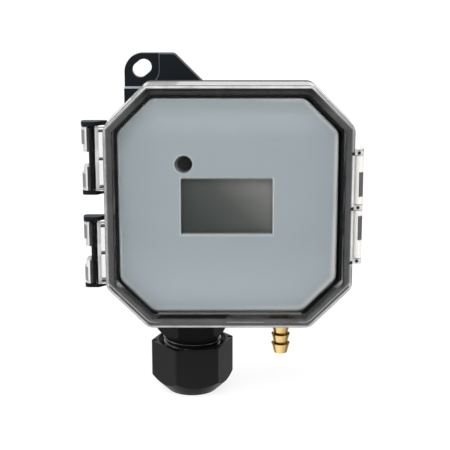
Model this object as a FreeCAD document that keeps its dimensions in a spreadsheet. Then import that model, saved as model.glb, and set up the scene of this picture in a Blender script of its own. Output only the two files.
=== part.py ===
import FreeCAD, Part
import math
import os
import Sketcher
from FreeCAD import Vector

# Wall pressure transmitter: black box with ears, grey face plate, clear hinged lid, cable gland
# and two hose fittings. Millimetres. X runs to the right, Z up, and the wall is the plane Y = 0,
# so a height above the wall is measured towards -Y.

doc = FreeCAD.newDocument("PressureTransmitter")
sheet = doc.addObject("Spreadsheet::Sheet", "Size")
SIZES = {
    # case
    "case_width": 88,
    "case_depth": 48,
    "corner_cut": 15,
    "corner_round": 4,
    "inner_round": 3,
    "lid_depth": 11,
    "wall": 2.5,
    "floor_thick": 2.5,
    "body_inset": 6,
    "body_draft": 1,
    "flange_inset": 0.1,
    "flange_thick": 3.2,
    "rim_wall": 0.8,
    "rim_gap": 1.8,
    "ledge_drop": 1,
    # lid
    "lid_wall": 3.3,
    "lid_panel": 2.2,
    "lid_edge_round": 1.2,
    "lid_clearance": 0.35,
    "gasket_edge": 0.4,
    "gasket_thick": 1,
    "gasket_gap": 0.1,
    # hinges
    "hinge_out": 4.8,
    "hinge_past": 1.5,
    "hinge_length": 26.4,
    "hinge_drop": 0.7,
    "hinge_lug_thick": 1.5,
    "hinge_lug_depth": 4.5,
    "hinge_lug_round": 1.5,
    "hinge_bar": 2.5,
    "hinge_play": 0.15,
    "hinge_side_play": 0.3,
    "knuckle_wall": 2.3,
    "knuckle_throat": 2.25,
    "knuckle_lip": 0.5,
    "knuckle_notch": 5.4,
    "knuckle_step": 0.8,
    "knuckle_step_length": 10.2,
    "rib_thick": 0.8,
    "rib_spacing": 10.1,
    "rib_gap": 0.2,
    "rib_depth": 0.9,
    # latch
    "latch_out": 1.9,
    "latch_length": 41.2,
    "latch_pin_depth": 5,
    "latch_pin_width": 1.6,
    "latch_knuckle": 3.2,
    "latch_plate": 1.1,
    "latch_play": 0.1,
    "latch_ear": 1.6,
    "latch_side_play": 0.4,
    "latch_step": 0.4,
    "latch_tail": 18,
    "latch_slope": 8.5,
    "latch_lip": 2.9,
    "latch_bend": 2,
    "tab_spacing": 16.3,
    "tab_length": 8.9,
    "tab_reach": 3.9,
    "tab_thick": 1.5,
    "tab_height": 6.4,
    "tab_root": 2.1,
    "tab_round": 0.6,
    "tab_clearance": 0.25,
    # wall ears
    "ear_inset": 4.3,
    "ear_rise": 6,
    "ear_length": 19.1,
    "ear_round": 7,
    "ear_end_round": 2.3,
    "ear_web": 6,
    "ear_pad": 3,
    "recess_width": 13.3,
    "recess_drop": 12.8,
    "recess_round": 3.5,
    "slot_inset": 6.7,
    "slot_drop": 5.7,
    "slot_width": 5.9,
    "slot_length": 7.8,
    "slot_angle": 40,
    # face plate
    "plate_inset": 5,
    "plate_x": -0.4,
    "plate_recess": 5,
    "plate_thick": 2,
    "plate_skirt": 1.6,
    "plate_round": 4.5,
    "plate_edge": 0.8,
    "seat_gap": 0.05,
    "window_width": 32.6,
    "window_height": 20.3,
    "window_round": 0.6,
    "window_bevel": 0.35,
    "window_x": -0.4,
    # push button
    "button_x": -15.7,
    "button_z": 15.3,
    "button_width": 5.7,
    "button_clearance": 0.35,
    "button_sink": 1.3,
    "button_edge": 0.4,
    "button_rim": 0.8,
    "button_rim_thick": 0.5,
    "button_gap": 0.2,
    "button_travel": 0.6,
    "stem_width": 3,
    "stem_sink": 1,
    "stem_play": 0.2,
    "switch_width": 6,
    "switch_height": 3.5,
    # display
    "glass_width": 35,
    "glass_height": 21.4,
    "glass_thick": 1.7,
    "glass_gap": 0.3,
    "frame_wall": 0.7,
    "frame_clearance": 0.2,
    "frame_height": 5,
    "guide_thick": 2.3,
    "display_width": 50,
    "display_low": 18,
    "display_high": 27,
    "display_post_edge": 2.5,
    "display_post_width": 4.4,
    # boards and screws
    "board_thick": 1.6,
    "board_round": 2,
    "board_side_gap": 5.5,
    "board_top_gap": 6.5,
    "board_low": 18,
    "board_standoff": 3.5,
    "post_edge": 3.5,
    "post_width": 6,
    "screw_width": 2.4,
    "screw_head": 5,
    "screw_head_thick": 1.8,
    "screw_length": 4,
    "screw_room": 0.4,
    "screw_slack": 0.2,
    "press_fit": 0.02,
    # terminal block
    "terminal_side_gap": 8.5,
    "terminal_edge": 0.5,
    "terminal_pitch": 5,
    "terminal_count": 3,
    "terminal_depth": 9,
    "terminal_tall": 11,
    "terminal_well": 3.8,
    "terminal_well_depth": 4,
    "terminal_screw": 3.6,
    "terminal_screw_thick": 2,
    "terminal_slot": 0.6,
    "terminal_slot_depth": 0.7,
    "terminal_mouth": 3.3,
    "terminal_mouth_low": 1.5,
    "terminal_mouth_high": 5,
    # parts on the main board
    "sensor_width": 16,
    "sensor_low": 4,
    "sensor_length": 14,
    "sensor_tall": 9.4,
    "sensor_round": 1,
    "nipple_spacing": 8,
    "nipple_reach": 7,
    "nipple_width": 3.2,
    "nipple_bore": 1.9,
    "chip_x": -3,
    "chip_z": 9,
    "chip_width": 10,
    "chip_thick": 1.4,
    "radio_side_gap": 4,
    "radio_top_gap": 10,
    "radio_width": 13,
    "radio_length": 17,
    "radio_thick": 2.4,
    "capacitor_gap": 3.3,
    "capacitor_width": 6.3,
    "capacitor_tall": 11,
    "ribbon_width": 16,
    "ribbon_thick": 0.4,
    "ribbon_z": 22,
    "ribbon_x": 6,
    "socket_tall": 4,
    "socket_side": 1.5,
    "socket_wall": 2,
    # hose fittings
    "port_inset": 24.4,
    "port_spacing": 13,
    "port_ear_gap": 0.6,
    "port_rise": 5.4,
    "port_boss": 13.6,
    "port_thread": 9.8,
    "port_thread_play": 0.1,
    "port_thread_past": 1,
    "port_hex": 11,
    "port_hex_thick": 3.6,
    "port_seal_width": 11.8,
    "port_seal_thick": 1,
    "port_nut_thick": 3.4,
    "port_seat": 0.6,
    "port_seat_edge": 0.6,
    "port_bore": 3.4,
    "port_bore_end": 2,
    "barb_width": 7,
    "barb_neck": 5.1,
    "barb_pitch": 3.65,
    "barb_length": 12.5,
    "inner_nipple": 6,
    # hoses
    "tube_wall": 0.95,
    "tube_play": 0.02,
    "tube_gap": 0.3,
    "tube_run": 9.4,
    "tube_bend": 5.2,
    # cable gland
    "gland_inset": 29.9,
    "gland_offset": 1.5,
    "gland_boss_edge": 0.7,
    "gland_inner_thread": 20,
    "gland_thread_play": 0.15,
    "gland_washer_wall": 2.15,
    "gland_washer_thick": 1.2,
    "gland_collar_flats": 23.2,
    "gland_collar_length": 10.2,
    "gland_collar_tip": 22.4,
    "gland_thread": 22.3,
    "gland_thread_root": 20.6,
    "gland_thread_length": 11.3,
    "gland_finger_length": 5,
    "gland_finger_root": 1.5,
    "gland_finger_tip": 0.8,
    "gland_finger_slot": 1.2,
    "gland_finger_gap": 0.4,
    "gland_finger_count": 10,
    "gland_nut_flats": 27.5,
    "gland_nut_round": 1.2,
    "gland_nut_gap": 2.4,
    "gland_nut_hex": 13.4,
    "gland_nut_dome": 6.2,
    "gland_nut_turn": 8.5,
    "gland_nut_hole": 14,
    "gland_nut_cone": 22.4,
    "gland_nut_draft": 0.4,
    "gland_nut_lip": 1.2,
    "gland_nut_mouth": 26,
    "gland_nut_rim": 0.6,
    "gland_nut_funnel": 1.8,
    "gland_nut_pocket": 1.8,
    "gland_nut_play": 0.15,
    "gland_seal_wall": 3,
    "gland_seal_bore": 10,
    "gland_seal_length": 10,
    "gland_seal_sink": 0.2,
    "gland_seal_play": 0.1,
    "gland_bore": 13.6,
    "gland_locknut_flats": 26,
    "gland_locknut_thick": 5,
    "gland_seat": 2,
    "gland_inside": 7,
}
for row, (name, number) in enumerate(SIZES.items(), 1):
    sheet.set(f"A{row}", name)
    sheet.set(f"B{row}", str(number))
    sheet.setAlias(f"B{row}", name)
doc.recompute()

HALF = "(Size.case_width / 2)"
SPLIT = "(Size.case_depth - Size.lid_depth)"
LEDGE = f"({SPLIT} - Size.ledge_drop)"
GASKET_LOW = f"({SPLIT} + Size.gasket_gap)"
LID_BACK = f"({GASKET_LOW} + Size.gasket_thick)"
LID_INSIDE = "(Size.case_depth - Size.lid_panel)"
RIM_TOP = f"({LID_INSIDE} - Size.rim_gap)"
RIM_INSET = "(Size.lid_wall + Size.lid_clearance)"
RIM_INNER = f"({RIM_INSET} + Size.rim_wall)"
CAVITY_INSET = "(Size.body_inset + Size.wall)"
CAVITY_HALF = f"({HALF} - {CAVITY_INSET})"
EAR_SIDE = f"({HALF} - Size.ear_inset)"
EAR_TOP = f"({HALF} + Size.ear_rise)"
EAR_TOP_END = f"({EAR_SIDE} - Size.ear_length)"
RECESS_SIDE = f"({EAR_SIDE} - Size.recess_width)"
RECESS_LEVEL = f"({EAR_TOP} - Size.recess_drop)"
SLOT_X = f"({EAR_SIDE} - Size.slot_inset)"
SLOT_Z = f"({EAR_TOP} - Size.slot_drop)"
HINGE_X = f"(-{HALF} - Size.hinge_out)"
HINGE_Y = f"(-{SPLIT})"
HINGE_Z = f"({HALF} - Size.corner_cut + Size.hinge_past - Size.hinge_length / 2)"
HINGE_MIDDLES = (f"({HINGE_Z} - Size.hinge_drop)", f"(-{HINGE_Z} - Size.hinge_drop)")
FLANGE_LOW = f"({HALF} - Size.flange_inset)"
FLANGE_SIDE = f"({HALF} - Size.flange_inset - Size.lid_clearance)"
KNUCKLE_IN = "(Size.hinge_bar / 2 + Size.hinge_play)"
KNUCKLE_OUT = f"({KNUCKLE_IN} + Size.knuckle_wall)"
KNUCKLE_LENGTH = "(Size.hinge_length - 2 * Size.hinge_lug_thick - 2 * Size.hinge_side_play)"
LATCH_X = f"({HALF} + Size.latch_out)"
LATCH_PIN = "(Size.case_depth - Size.latch_pin_depth)"
LATCH_HALF = "(Size.latch_length / 2 - Size.latch_ear - Size.latch_side_play)"
TAB_MIDDLES = ("(Size.tab_spacing / 2)", "(-Size.tab_spacing / 2)")
TAB_BACK = f"({HINGE_Y} + Size.flange_thick)"
TAB_SIDE = f"({HALF} + Size.tab_reach)"
PLATE_TOP = "(Size.case_depth - Size.plate_recess)"
PLATE_BACK = f"({PLATE_TOP} - Size.plate_thick)"
BUTTON_TOP = f"({PLATE_TOP} - Size.button_sink)"
BUTTON_RIM = f"({PLATE_BACK} - Size.button_gap)"
FRAME_TOP = f"({PLATE_BACK} - Size.glass_gap)"
GLASS_TOP = f"({FRAME_TOP} + Size.glass_gap / 2)"
GUIDE_TOP = f"({GLASS_TOP} - Size.glass_thick)"
GUIDE_X = "(Size.plate_x + Size.window_x)"
GAP_WIDTH = "(Size.glass_width + 2 * Size.frame_clearance)"
GAP_HEIGHT = "(Size.glass_height + 2 * Size.frame_clearance)"
DISPLAY_TOP = f"({FRAME_TOP} - Size.frame_height)"
DISPLAY_BACK = f"({DISPLAY_TOP} - Size.board_thick)"
SWITCH_TOP = f"({DISPLAY_TOP} + Size.switch_height)"
BOARD_SIDE = f"({CAVITY_HALF} - Size.board_side_gap)"
BOARD_HIGH = f"({CAVITY_HALF} - Size.board_top_gap)"
BOARD_BACK = "(Size.floor_thick + Size.board_standoff)"
BOARD_TOP = f"({BOARD_BACK} + Size.board_thick)"
TERMINAL_LENGTH = "(Size.terminal_pitch * Size.terminal_count)"
TERMINAL_LEFT = f"(Size.terminal_side_gap - {BOARD_SIDE})"
TERMINAL_RIGHT = f"({TERMINAL_LEFT} + {TERMINAL_LENGTH})"
TERMINAL_FRONT = f"({BOARD_TOP} + Size.terminal_tall)"
TERMINAL_LOW = "(-Size.board_low + Size.terminal_edge)"
TERMINAL_Z = f"({TERMINAL_LOW} + Size.terminal_depth / 2)"
WELL_FLOOR = f"({TERMINAL_FRONT} - Size.terminal_well_depth)"
CAPACITOR_X = f"({TERMINAL_RIGHT} + Size.capacitor_gap + Size.capacitor_width / 2)"
RADIO_LEFT = f"(Size.radio_side_gap - {BOARD_SIDE})"
RADIO_HIGH = f"({BOARD_HIGH} - Size.radio_top_gap)"
RIBBON_LEFT = "(Size.ribbon_x - Size.ribbon_width / 2)"
RIBBON_RIGHT = "(Size.ribbon_x + Size.ribbon_width / 2)"
RIBBON_FRONT = "(Size.ribbon_z + Size.ribbon_thick)"
PORT_X = f"({HALF} - Size.port_inset)"
PORT_LEVEL = f"({HALF} - Size.port_rise)"
PORT_BACK = "(Size.ear_web + Size.port_ear_gap + Size.port_seal_width / 2)"
PORT_FRONT = f"({PORT_BACK} + Size.port_spacing)"
PORT_NUT_LOW = f"(Size.port_seat - {CAVITY_HALF})"
PORT_NUT_TOP = f"({PORT_NUT_LOW} + Size.port_nut_thick)"
PORT_THREAD_END = f"({PORT_NUT_TOP} + Size.port_thread_past)"
SENSOR_LOW = "(-Size.sensor_low)"
SENSOR_HEIGHT = PORT_BACK
NIPPLE_PLACES = (f"({PORT_X} - Size.nipple_spacing / 2)", f"({PORT_X} + Size.nipple_spacing / 2)")
GLAND_X = f"(Size.gland_inset - {HALF})"
GLAND_HEIGHT = f"({SPLIT} / 2 + Size.gland_offset)"
GLAND_HOLE = "(Size.gland_inner_thread / 2 + Size.gland_thread_play)"
GLAND_WASHER = f"({GLAND_HOLE} + Size.gland_washer_wall)"
GLAND_BOSS = f"({GLAND_WASHER} + Size.gland_boss_edge)"
LOCKNUT_LOW = f"({FLANGE_LOW} - {CAVITY_HALF} + Size.gland_seat)"
GLAND_TOP = f"({LOCKNUT_LOW} + Size.gland_inside)"
COLLAR_TOP = "(-Size.gland_washer_thick)"
COLLAR_END = f"({COLLAR_TOP} - Size.gland_collar_length)"
THREAD_END = f"({COLLAR_END} - Size.gland_thread_length)"
FINGER_END = f"({THREAD_END} - Size.gland_finger_length)"
SEAL_OUT = "(Size.gland_seal_bore / 2 + Size.gland_seal_wall)"
SEAL_LOW = f"({FINGER_END} + Size.gland_seal_sink)"
SEAL_TOP = f"({SEAL_LOW} + Size.gland_seal_length)"
SEAL_SEAT = f"({SEAL_TOP} + Size.gland_seal_play)"
SEAL_SPACE = f"({SEAL_OUT} + Size.gland_seal_play)"
FINGER_TIP = f"({SEAL_SPACE} + Size.gland_finger_tip)"
NUT_START = f"({COLLAR_END} - Size.gland_nut_gap)"
HEX_END = f"({NUT_START} - Size.gland_nut_hex)"
DOME_END = f"({HEX_END} - Size.gland_nut_dome)"
NUT_BORE = "(Size.gland_thread / 2 + Size.gland_nut_play)"
NUT_CORNER = "(Size.gland_nut_flats / sqrt(3))"
NUT_CONE = "(Size.gland_nut_cone / 2)"
NUT_TIP = f"({NUT_CONE} - Size.gland_nut_draft)"
GLAND_TURN = "(30 + Size.gland_nut_turn)"


def corner_places(side, low, high, edge):
    """Four screw places, each a set distance from two edges of a board."""
    right = f"({side} - {edge})"
    top = f"({high} - {edge})"
    bottom = f"({edge} - {low})"
    return [(right, top), (f"-{right}", top), (f"-{right}", bottom), (right, bottom)]


POST_PLACES = corner_places(BOARD_SIDE, "Size.board_low", BOARD_HIGH, "Size.post_edge")
DISPLAY_PLACES = corner_places("Size.display_width / 2", "Size.display_low", "Size.display_high",
                               "Size.display_post_edge")


def value(formula):
    return float(sheet.evalExpression(formula))


def new_body(name):
    body = doc.addObject("PartDesign::Body", name)
    body.Label = name
    return body


def new_sketch(body, plane, height="0"):
    base = next(part for part in body.Origin.OriginFeatures if part.Role == plane + "_Plane")
    sketch = body.newObject("Sketcher::SketchObject", "Outline")
    sketch.AttachmentSupport = [(base, "")]
    sketch.MapMode = "FlatFace"
    sketch.setExpression("AttachmentOffset.Base.z", height)
    return sketch


def place(sketch, geometry, position, x, y):
    for kind, formula, axis in (("DistanceX", x, -2), ("DistanceY", y, -1)):
        if formula == "0":
            sketch.addConstraint(Sketcher.Constraint("PointOnObject", geometry, position, axis))
            continue
        limit = Sketcher.Constraint(kind, -1, 1, geometry, position, value(formula))
        index = sketch.addConstraint(limit)
        sketch.setExpression(f"Constraints[{index}]", formula)


def radius_limit(sketch, geometry, formula):
    index = sketch.addConstraint(Sketcher.Constraint("Radius", geometry, value(formula)))
    sketch.setExpression(f"Constraints[{index}]", formula)


def add_circle(sketch, x, y, radius):
    centre = Vector(value(x), value(y), 0)
    circle = sketch.addGeometry(Part.Circle(centre, Vector(0, 0, 1), value(radius)), False)
    place(sketch, circle, 3, x, y)
    radius_limit(sketch, circle, radius)


def add_arc(sketch, centre, start, end):
    first = math.atan2(start.y - centre.y, start.x - centre.x)
    last = math.atan2(end.y - centre.y, end.x - centre.x)
    if last < first:
        last += 2 * math.pi
    circle = Part.Circle(centre, Vector(0, 0, 1), (start - centre).Length)
    return sketch.addGeometry(Part.ArcOfCircle(circle, first, last), False)


def add_outline(sketch, corners):
    """Closed outline; a corner with a third value is rounded to that radius."""
    count = len(corners)
    points = [Vector(value(corner[0]), value(corner[1]), 0) for corner in corners]
    starts, ends, centres = [], [], []
    for i, corner in enumerate(corners):
        if len(corner) == 2:
            ends.append(points[i])
            starts.append(points[i])
            centres.append(None)
            continue
        before = (points[i - 1] - points[i]).normalize()
        after = (points[(i + 1) % count] - points[i]).normalize()
        half = before.getAngle(after) / 2
        radius = value(corner[2])
        ends.append(points[i] + before * (radius / math.tan(half)))
        starts.append(points[i] + after * (radius / math.tan(half)))
        centres.append(points[i] + (before + after).normalize() * (radius / math.sin(half)))
    lines = []
    for i in range(count):
        line = Part.LineSegment(starts[i], ends[(i + 1) % count])
        lines.append(sketch.addGeometry(line, False))
    for i, corner in enumerate(corners):
        incoming, outgoing = lines[i - 1], lines[i]
        if centres[i] is None:
            sketch.addConstraint(Sketcher.Constraint("Coincident", incoming, 2, outgoing, 1))
            place(sketch, outgoing, 1, corner[0], corner[1])
            continue
        turn = (points[i] - points[i - 1]).cross(points[(i + 1) % count] - points[i]).z
        if turn > 0:
            arc = add_arc(sketch, centres[i], ends[i], starts[i])
            first, last = 1, 2
        else:
            arc = add_arc(sketch, centres[i], starts[i], ends[i])
            first, last = 2, 1
        apex = sketch.addGeometry(Part.Point(points[i]), True)
        sketch.addConstraint(Sketcher.Constraint("Tangent", incoming, 2, arc, first))
        sketch.addConstraint(Sketcher.Constraint("Tangent", arc, last, outgoing, 1))
        sketch.addConstraint(Sketcher.Constraint("PointOnObject", apex, 1, incoming))
        sketch.addConstraint(Sketcher.Constraint("PointOnObject", apex, 1, outgoing))
        radius_limit(sketch, arc, corner[2])
        place(sketch, apex, 1, corner[0], corner[1])


def add_rectangle(sketch, x0, x1, y0, y1, radius=None):
    rounding = (radius,) if radius else ()
    corners = [(x0, y0), (x1, y0), (x1, y1), (x0, y1)]
    add_outline(sketch, [corner + rounding for corner in corners])


def add_octagon(sketch, inset, radius):
    half = f"(Size.case_width / 2 - {inset})"
    near = f"({half} - Size.corner_cut + (2 - sqrt(2)) * {inset})"
    corners = [
        (near, half, radius),
        (f"-{near}", half, radius),
        (f"-{half}", near, radius),
        (f"-{half}", f"-{near}", radius),
        (f"-{near}", f"-{half}", radius),
        (near, f"-{half}", radius),
        (half, f"-{near}", radius),
        (half, near, radius),
    ]
    add_outline(sketch, corners)


def add_hexagon(sketch, flats, x="0", y="0", turn="0", radius=None):
    rounding = (radius,) if radius else ()
    corners = []
    for step in range(6):
        angle = f"({60 * step + 30} + {turn}) * 1deg"
        corner_x = f"({x} + {flats} / sqrt(3) * cos({angle}))"
        corner_y = f"({y} + {flats} / sqrt(3) * sin({angle}))"
        corners.append((corner_x, corner_y) + rounding)
    add_outline(sketch, corners)


def add_slot(sketch, x, y, length, width, angle):
    reach = f"(({length} - {width}) / 2)"
    ends = []
    for sign in ("", "-"):
        centre_x = f"({x} + {sign}{reach} * cos({angle} * 1deg))"
        centre_y = f"({y} + {sign}{reach} * sin({angle} * 1deg))"
        ends.append((centre_x, centre_y))
    turn = math.radians(value(angle))
    side = Vector(-math.sin(turn), math.cos(turn), 0) * value(f"{width} / 2")
    far, near = [Vector(value(end[0]), value(end[1]), 0) for end in ends]
    far_arc = add_arc(sketch, far, far - side, far + side)
    near_arc = add_arc(sketch, near, near + side, near - side)
    upper = sketch.addGeometry(Part.LineSegment(far + side, near + side), False)
    lower = sketch.addGeometry(Part.LineSegment(near - side, far - side), False)
    for arc, line, start in ((far_arc, upper, 1), (near_arc, lower, 1)):
        sketch.addConstraint(Sketcher.Constraint("Tangent", arc, 2, line, start))
    for arc, line in ((near_arc, upper), (far_arc, lower)):
        sketch.addConstraint(Sketcher.Constraint("Tangent", line, 2, arc, 1))
    place(sketch, far_arc, 3, ends[0][0], ends[0][1])
    place(sketch, near_arc, 3, ends[1][0], ends[1][1])
    radius_limit(sketch, far_arc, f"{width} / 2")


def add_pad(body, sketch, length, taper=None):
    pad = body.newObject("PartDesign::Pad", "Pad")
    pad.Profile = sketch
    pad.setExpression("Length", length)
    if taper:
        pad.setExpression("TaperAngle", taper)
    sketch.Visibility = False
    return pad


def add_pocket(body, sketch, length=None, taper=None):
    pocket = body.newObject("PartDesign::Pocket", "Pocket")
    pocket.Profile = sketch
    if length:
        pocket.setExpression("Length", length)
    else:
        pocket.Type = "ThroughAll"
    if taper:
        pocket.setExpression("TaperAngle", taper)
    sketch.Visibility = False
    return pocket


def add_turn(body, corners):
    sketch = new_sketch(body, "XZ")
    add_outline(sketch, corners)
    turn = body.newObject("PartDesign::Revolution", "Turn")
    turn.Profile = sketch
    turn.ReferenceAxis = (sketch, ["V_Axis"])
    turn.Angle = 360
    return turn


def cut_turn(body, corners):
    sketch = new_sketch(body, "XZ")
    add_outline(sketch, corners)
    groove = body.newObject("PartDesign::Groove", "CutTurn")
    groove.Profile = sketch
    groove.ReferenceAxis = (sketch, ["V_Axis"])
    groove.Angle = 360
    return groove


def chosen_edges(feature, chosen):
    doc.recompute()
    return [f"Edge{number}" for number, edge in enumerate(feature.Shape.Edges, 1) if chosen(edge)]


def round_edges(body, feature, radius, chosen):
    names = chosen_edges(feature, chosen)
    fillet = body.newObject("PartDesign::Fillet", "Round")
    fillet.Base = (feature, names)
    fillet.setExpression("Radius", radius)


def bevel_edges(body, feature, size, chosen):
    names = chosen_edges(feature, chosen)
    bevel = body.newObject("PartDesign::Chamfer", "Bevel")
    bevel.Base = (feature, names)
    bevel.setExpression("Size", size)


def flat_at(height):
    """Chooses the edges that lie wholly at one height above the wall."""
    level = -value(height)

    def chosen(edge):
        return all(abs(vertex.Point.y - level) < 1e-4 for vertex in edge.Vertexes)

    return chosen


def move(part, x="0", y="0", z="0"):
    part.setExpression("Placement.Base.x", x)
    part.setExpression("Placement.Base.y", y)
    part.setExpression("Placement.Base.z", z)


def new_box(name, x0, x1, low, high, z0, z1):
    """Block between two heights above the wall."""
    box = doc.addObject("Part::Box", name)
    box.Label = name
    box.setExpression("Length", f"{x1} - ({x0})")
    box.setExpression("Width", f"{high} - ({low})")
    box.setExpression("Height", f"{z1} - ({z0})")
    move(box, x0, f"-({high})", z0)
    return box


def join(name, parts):
    group = doc.addObject("Part::Compound", name)
    group.Label = name
    group.Links = parts
    return group


# Base housing

base = new_body("base_housing")
outline = new_sketch(base, "XZ")
add_octagon(outline, "Size.body_inset", "Size.corner_round")
add_pad(base, outline, f"{SPLIT} - Size.flange_thick", "Size.body_draft")
outline = new_sketch(base, "XZ", f"{SPLIT} - Size.flange_thick")
add_octagon(outline, "Size.flange_inset", "Size.corner_round")
add_pad(base, outline, "Size.flange_thick")
outline = new_sketch(base, "XZ", SPLIT)
add_octagon(outline, RIM_INSET, "Size.inner_round")
add_pad(base, outline, f"{RIM_TOP} - {SPLIT}")

for sign in ("", "-"):
    outline = new_sketch(base, "XZ")
    corners = [
        (f"({sign}(-{EAR_SIDE}))", f"({sign}({EAR_SIDE} - Size.corner_cut))"),
        (f"({sign}(-{EAR_SIDE} + Size.corner_cut))", f"({sign}({EAR_SIDE} - Size.corner_cut))"),
        (f"({sign}(-{EAR_TOP_END} + {EAR_TOP} - {EAR_SIDE} + Size.wall))",
         f"({sign}({EAR_SIDE} - Size.wall))"),
        (f"({sign}(-{EAR_TOP_END}))", f"({sign}{EAR_TOP})", "Size.ear_end_round"),
        (f"({sign}(-{EAR_SIDE}))", f"({sign}{EAR_TOP})", "Size.ear_round"),
    ]
    add_outline(outline, corners)
    add_pad(base, outline, "Size.ear_web")
    outline = new_sketch(base, "XZ", "Size.ear_web")
    corners = [
        (f"({sign}(-{EAR_SIDE} - Size.recess_width))", f"({sign}{RECESS_LEVEL})"),
        (f"({sign}(-{RECESS_SIDE}))", f"({sign}{RECESS_LEVEL})", "Size.recess_round"),
        (f"({sign}(-{RECESS_SIDE}))", f"({sign}({EAR_TOP} + Size.recess_drop))"),
        (f"({sign}(-{EAR_SIDE} - Size.recess_width))", f"({sign}({EAR_TOP} + Size.recess_drop))"),
    ]
    add_outline(outline, corners)
    add_pocket(base, outline, "Size.ear_web - Size.ear_pad")
    outline = new_sketch(base, "XZ", "Size.ear_web")
    add_slot(outline, f"({sign}(-{SLOT_X}))", f"({sign}{SLOT_Z})",
             "Size.slot_length", "Size.slot_width", "Size.slot_angle")
    add_pocket(base, outline)

# bosses under the box for the gland and the fittings
outline = new_sketch(base, "XY", f"-{FLANGE_LOW}")
add_circle(outline, GLAND_X, f"(-{GLAND_HEIGHT})", GLAND_BOSS)
add_pad(base, outline, f"{FLANGE_LOW} - {CAVITY_HALF} - Size.wall / 2")
for height, level in ((PORT_FRONT, FLANGE_LOW), (PORT_BACK, PORT_LEVEL)):
    outline = new_sketch(base, "XY", f"-{level}")
    add_circle(outline, PORT_X, f"(-{height})", "Size.port_boss / 2")
    add_pad(base, outline, f"{level} - {CAVITY_HALF} - Size.wall / 2")

# hinge lugs and bars
for middle in HINGE_MIDDLES:
    for end in ("- Size.hinge_length / 2", "+ Size.hinge_length / 2 - Size.hinge_lug_thick"):
        outline = new_sketch(base, "XY", f"{middle} {end}")
        front = f"({HINGE_Y} - Size.hinge_lug_depth / 2)"
        back = f"({HINGE_Y} + Size.hinge_lug_depth / 2)"
        corners = [
            (f"(-{FLANGE_SIDE})", back),
            (f"(-{FLANGE_SIDE})", HINGE_Y),
            (f"({HINGE_X} + {KNUCKLE_OUT})", HINGE_Y),
            (f"({HINGE_X} + {KNUCKLE_IN})", front),
            (f"({HINGE_X} - {KNUCKLE_OUT})", front, "Size.hinge_lug_round"),
            (f"({HINGE_X} - {KNUCKLE_OUT})", back, "Size.hinge_lug_round"),
        ]
        add_outline(outline, corners)
        add_pad(base, outline, "Size.hinge_lug_thick")
    outline = new_sketch(base, "XY", f"{middle} - Size.hinge_length / 2")
    add_circle(outline, HINGE_X, HINGE_Y, "Size.hinge_bar / 2")
    add_pad(base, outline, "Size.hinge_length")

# catch tabs for the latch
for middle in TAB_MIDDLES:
    outline = new_sketch(base, "XY", f"{middle} - Size.tab_length / 2")
    corners = [
        (FLANGE_SIDE, TAB_BACK),
        (TAB_SIDE, TAB_BACK, "Size.tab_round"),
        (TAB_SIDE, f"({TAB_BACK} - Size.tab_height)", "Size.tab_round"),
        (f"({TAB_SIDE} - Size.tab_thick)", f"({TAB_BACK} - Size.tab_height)", "Size.tab_round"),
        (f"({TAB_SIDE} - Size.tab_thick)", f"({TAB_BACK} - Size.tab_root)", "Size.tab_round"),
        (FLANGE_SIDE, f"({TAB_BACK} - Size.tab_root)"),
    ]
    add_outline(outline, corners)
    add_pad(base, outline, "Size.tab_length")

# hollow, board posts and holes
outline = new_sketch(base, "XZ", RIM_TOP)
add_octagon(outline, RIM_INNER, "Size.inner_round")
add_pocket(base, outline, f"{RIM_TOP} - {LEDGE}")
outline = new_sketch(base, "XZ", LEDGE)
add_octagon(outline, CAVITY_INSET, "Size.inner_round")
add_pocket(base, outline, f"{LEDGE} - Size.floor_thick")
outline = new_sketch(base, "XZ", "Size.floor_thick / 2")
for x, z in POST_PLACES:
    add_circle(outline, x, z, "Size.post_width / 2")
add_pad(base, outline, f"{BOARD_BACK} - Size.floor_thick / 2")
outline = new_sketch(base, "XZ", BOARD_BACK)
for x, z in POST_PLACES:
    add_circle(outline, x, z, "Size.screw_width / 2")
add_pocket(base, outline, "Size.screw_length - Size.board_thick + Size.screw_room")
outline = new_sketch(base, "XY", f"-{CAVITY_HALF} - Size.wall / 2")
add_circle(outline, GLAND_X, f"(-{GLAND_HEIGHT})", GLAND_BOSS)
add_pad(base, outline, "Size.gland_seat + Size.wall / 2")
outline = new_sketch(base, "XY", f"-{CAVITY_HALF} - Size.wall / 2")
for height in (PORT_FRONT, PORT_BACK):
    add_circle(outline, PORT_X, f"(-{height})", "(Size.port_hex / 2 + Size.port_seat_edge)")
add_pad(base, outline, "Size.port_seat + Size.wall / 2")
outline = new_sketch(base, "XY", f"-{CAVITY_HALF} + Size.wall + Size.gland_seat")
add_circle(outline, GLAND_X, f"(-{GLAND_HEIGHT})", GLAND_HOLE)
for height in (PORT_FRONT, PORT_BACK):
    add_circle(outline, PORT_X, f"(-{height})", "(Size.port_thread / 2 + Size.port_thread_play)")
add_pocket(base, outline, f"Size.wall + Size.gland_seat + {EAR_TOP} - {CAVITY_HALF}")


# Clear lid with its gasket

lid = new_body("lid")
outline = new_sketch(lid, "XZ", LID_BACK)
add_octagon(outline, "0", "Size.corner_round")
shell = add_pad(lid, outline, f"Size.case_depth - {LID_BACK}")
round_edges(lid, shell, "Size.lid_edge_round", flat_at("Size.case_depth"))

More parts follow.
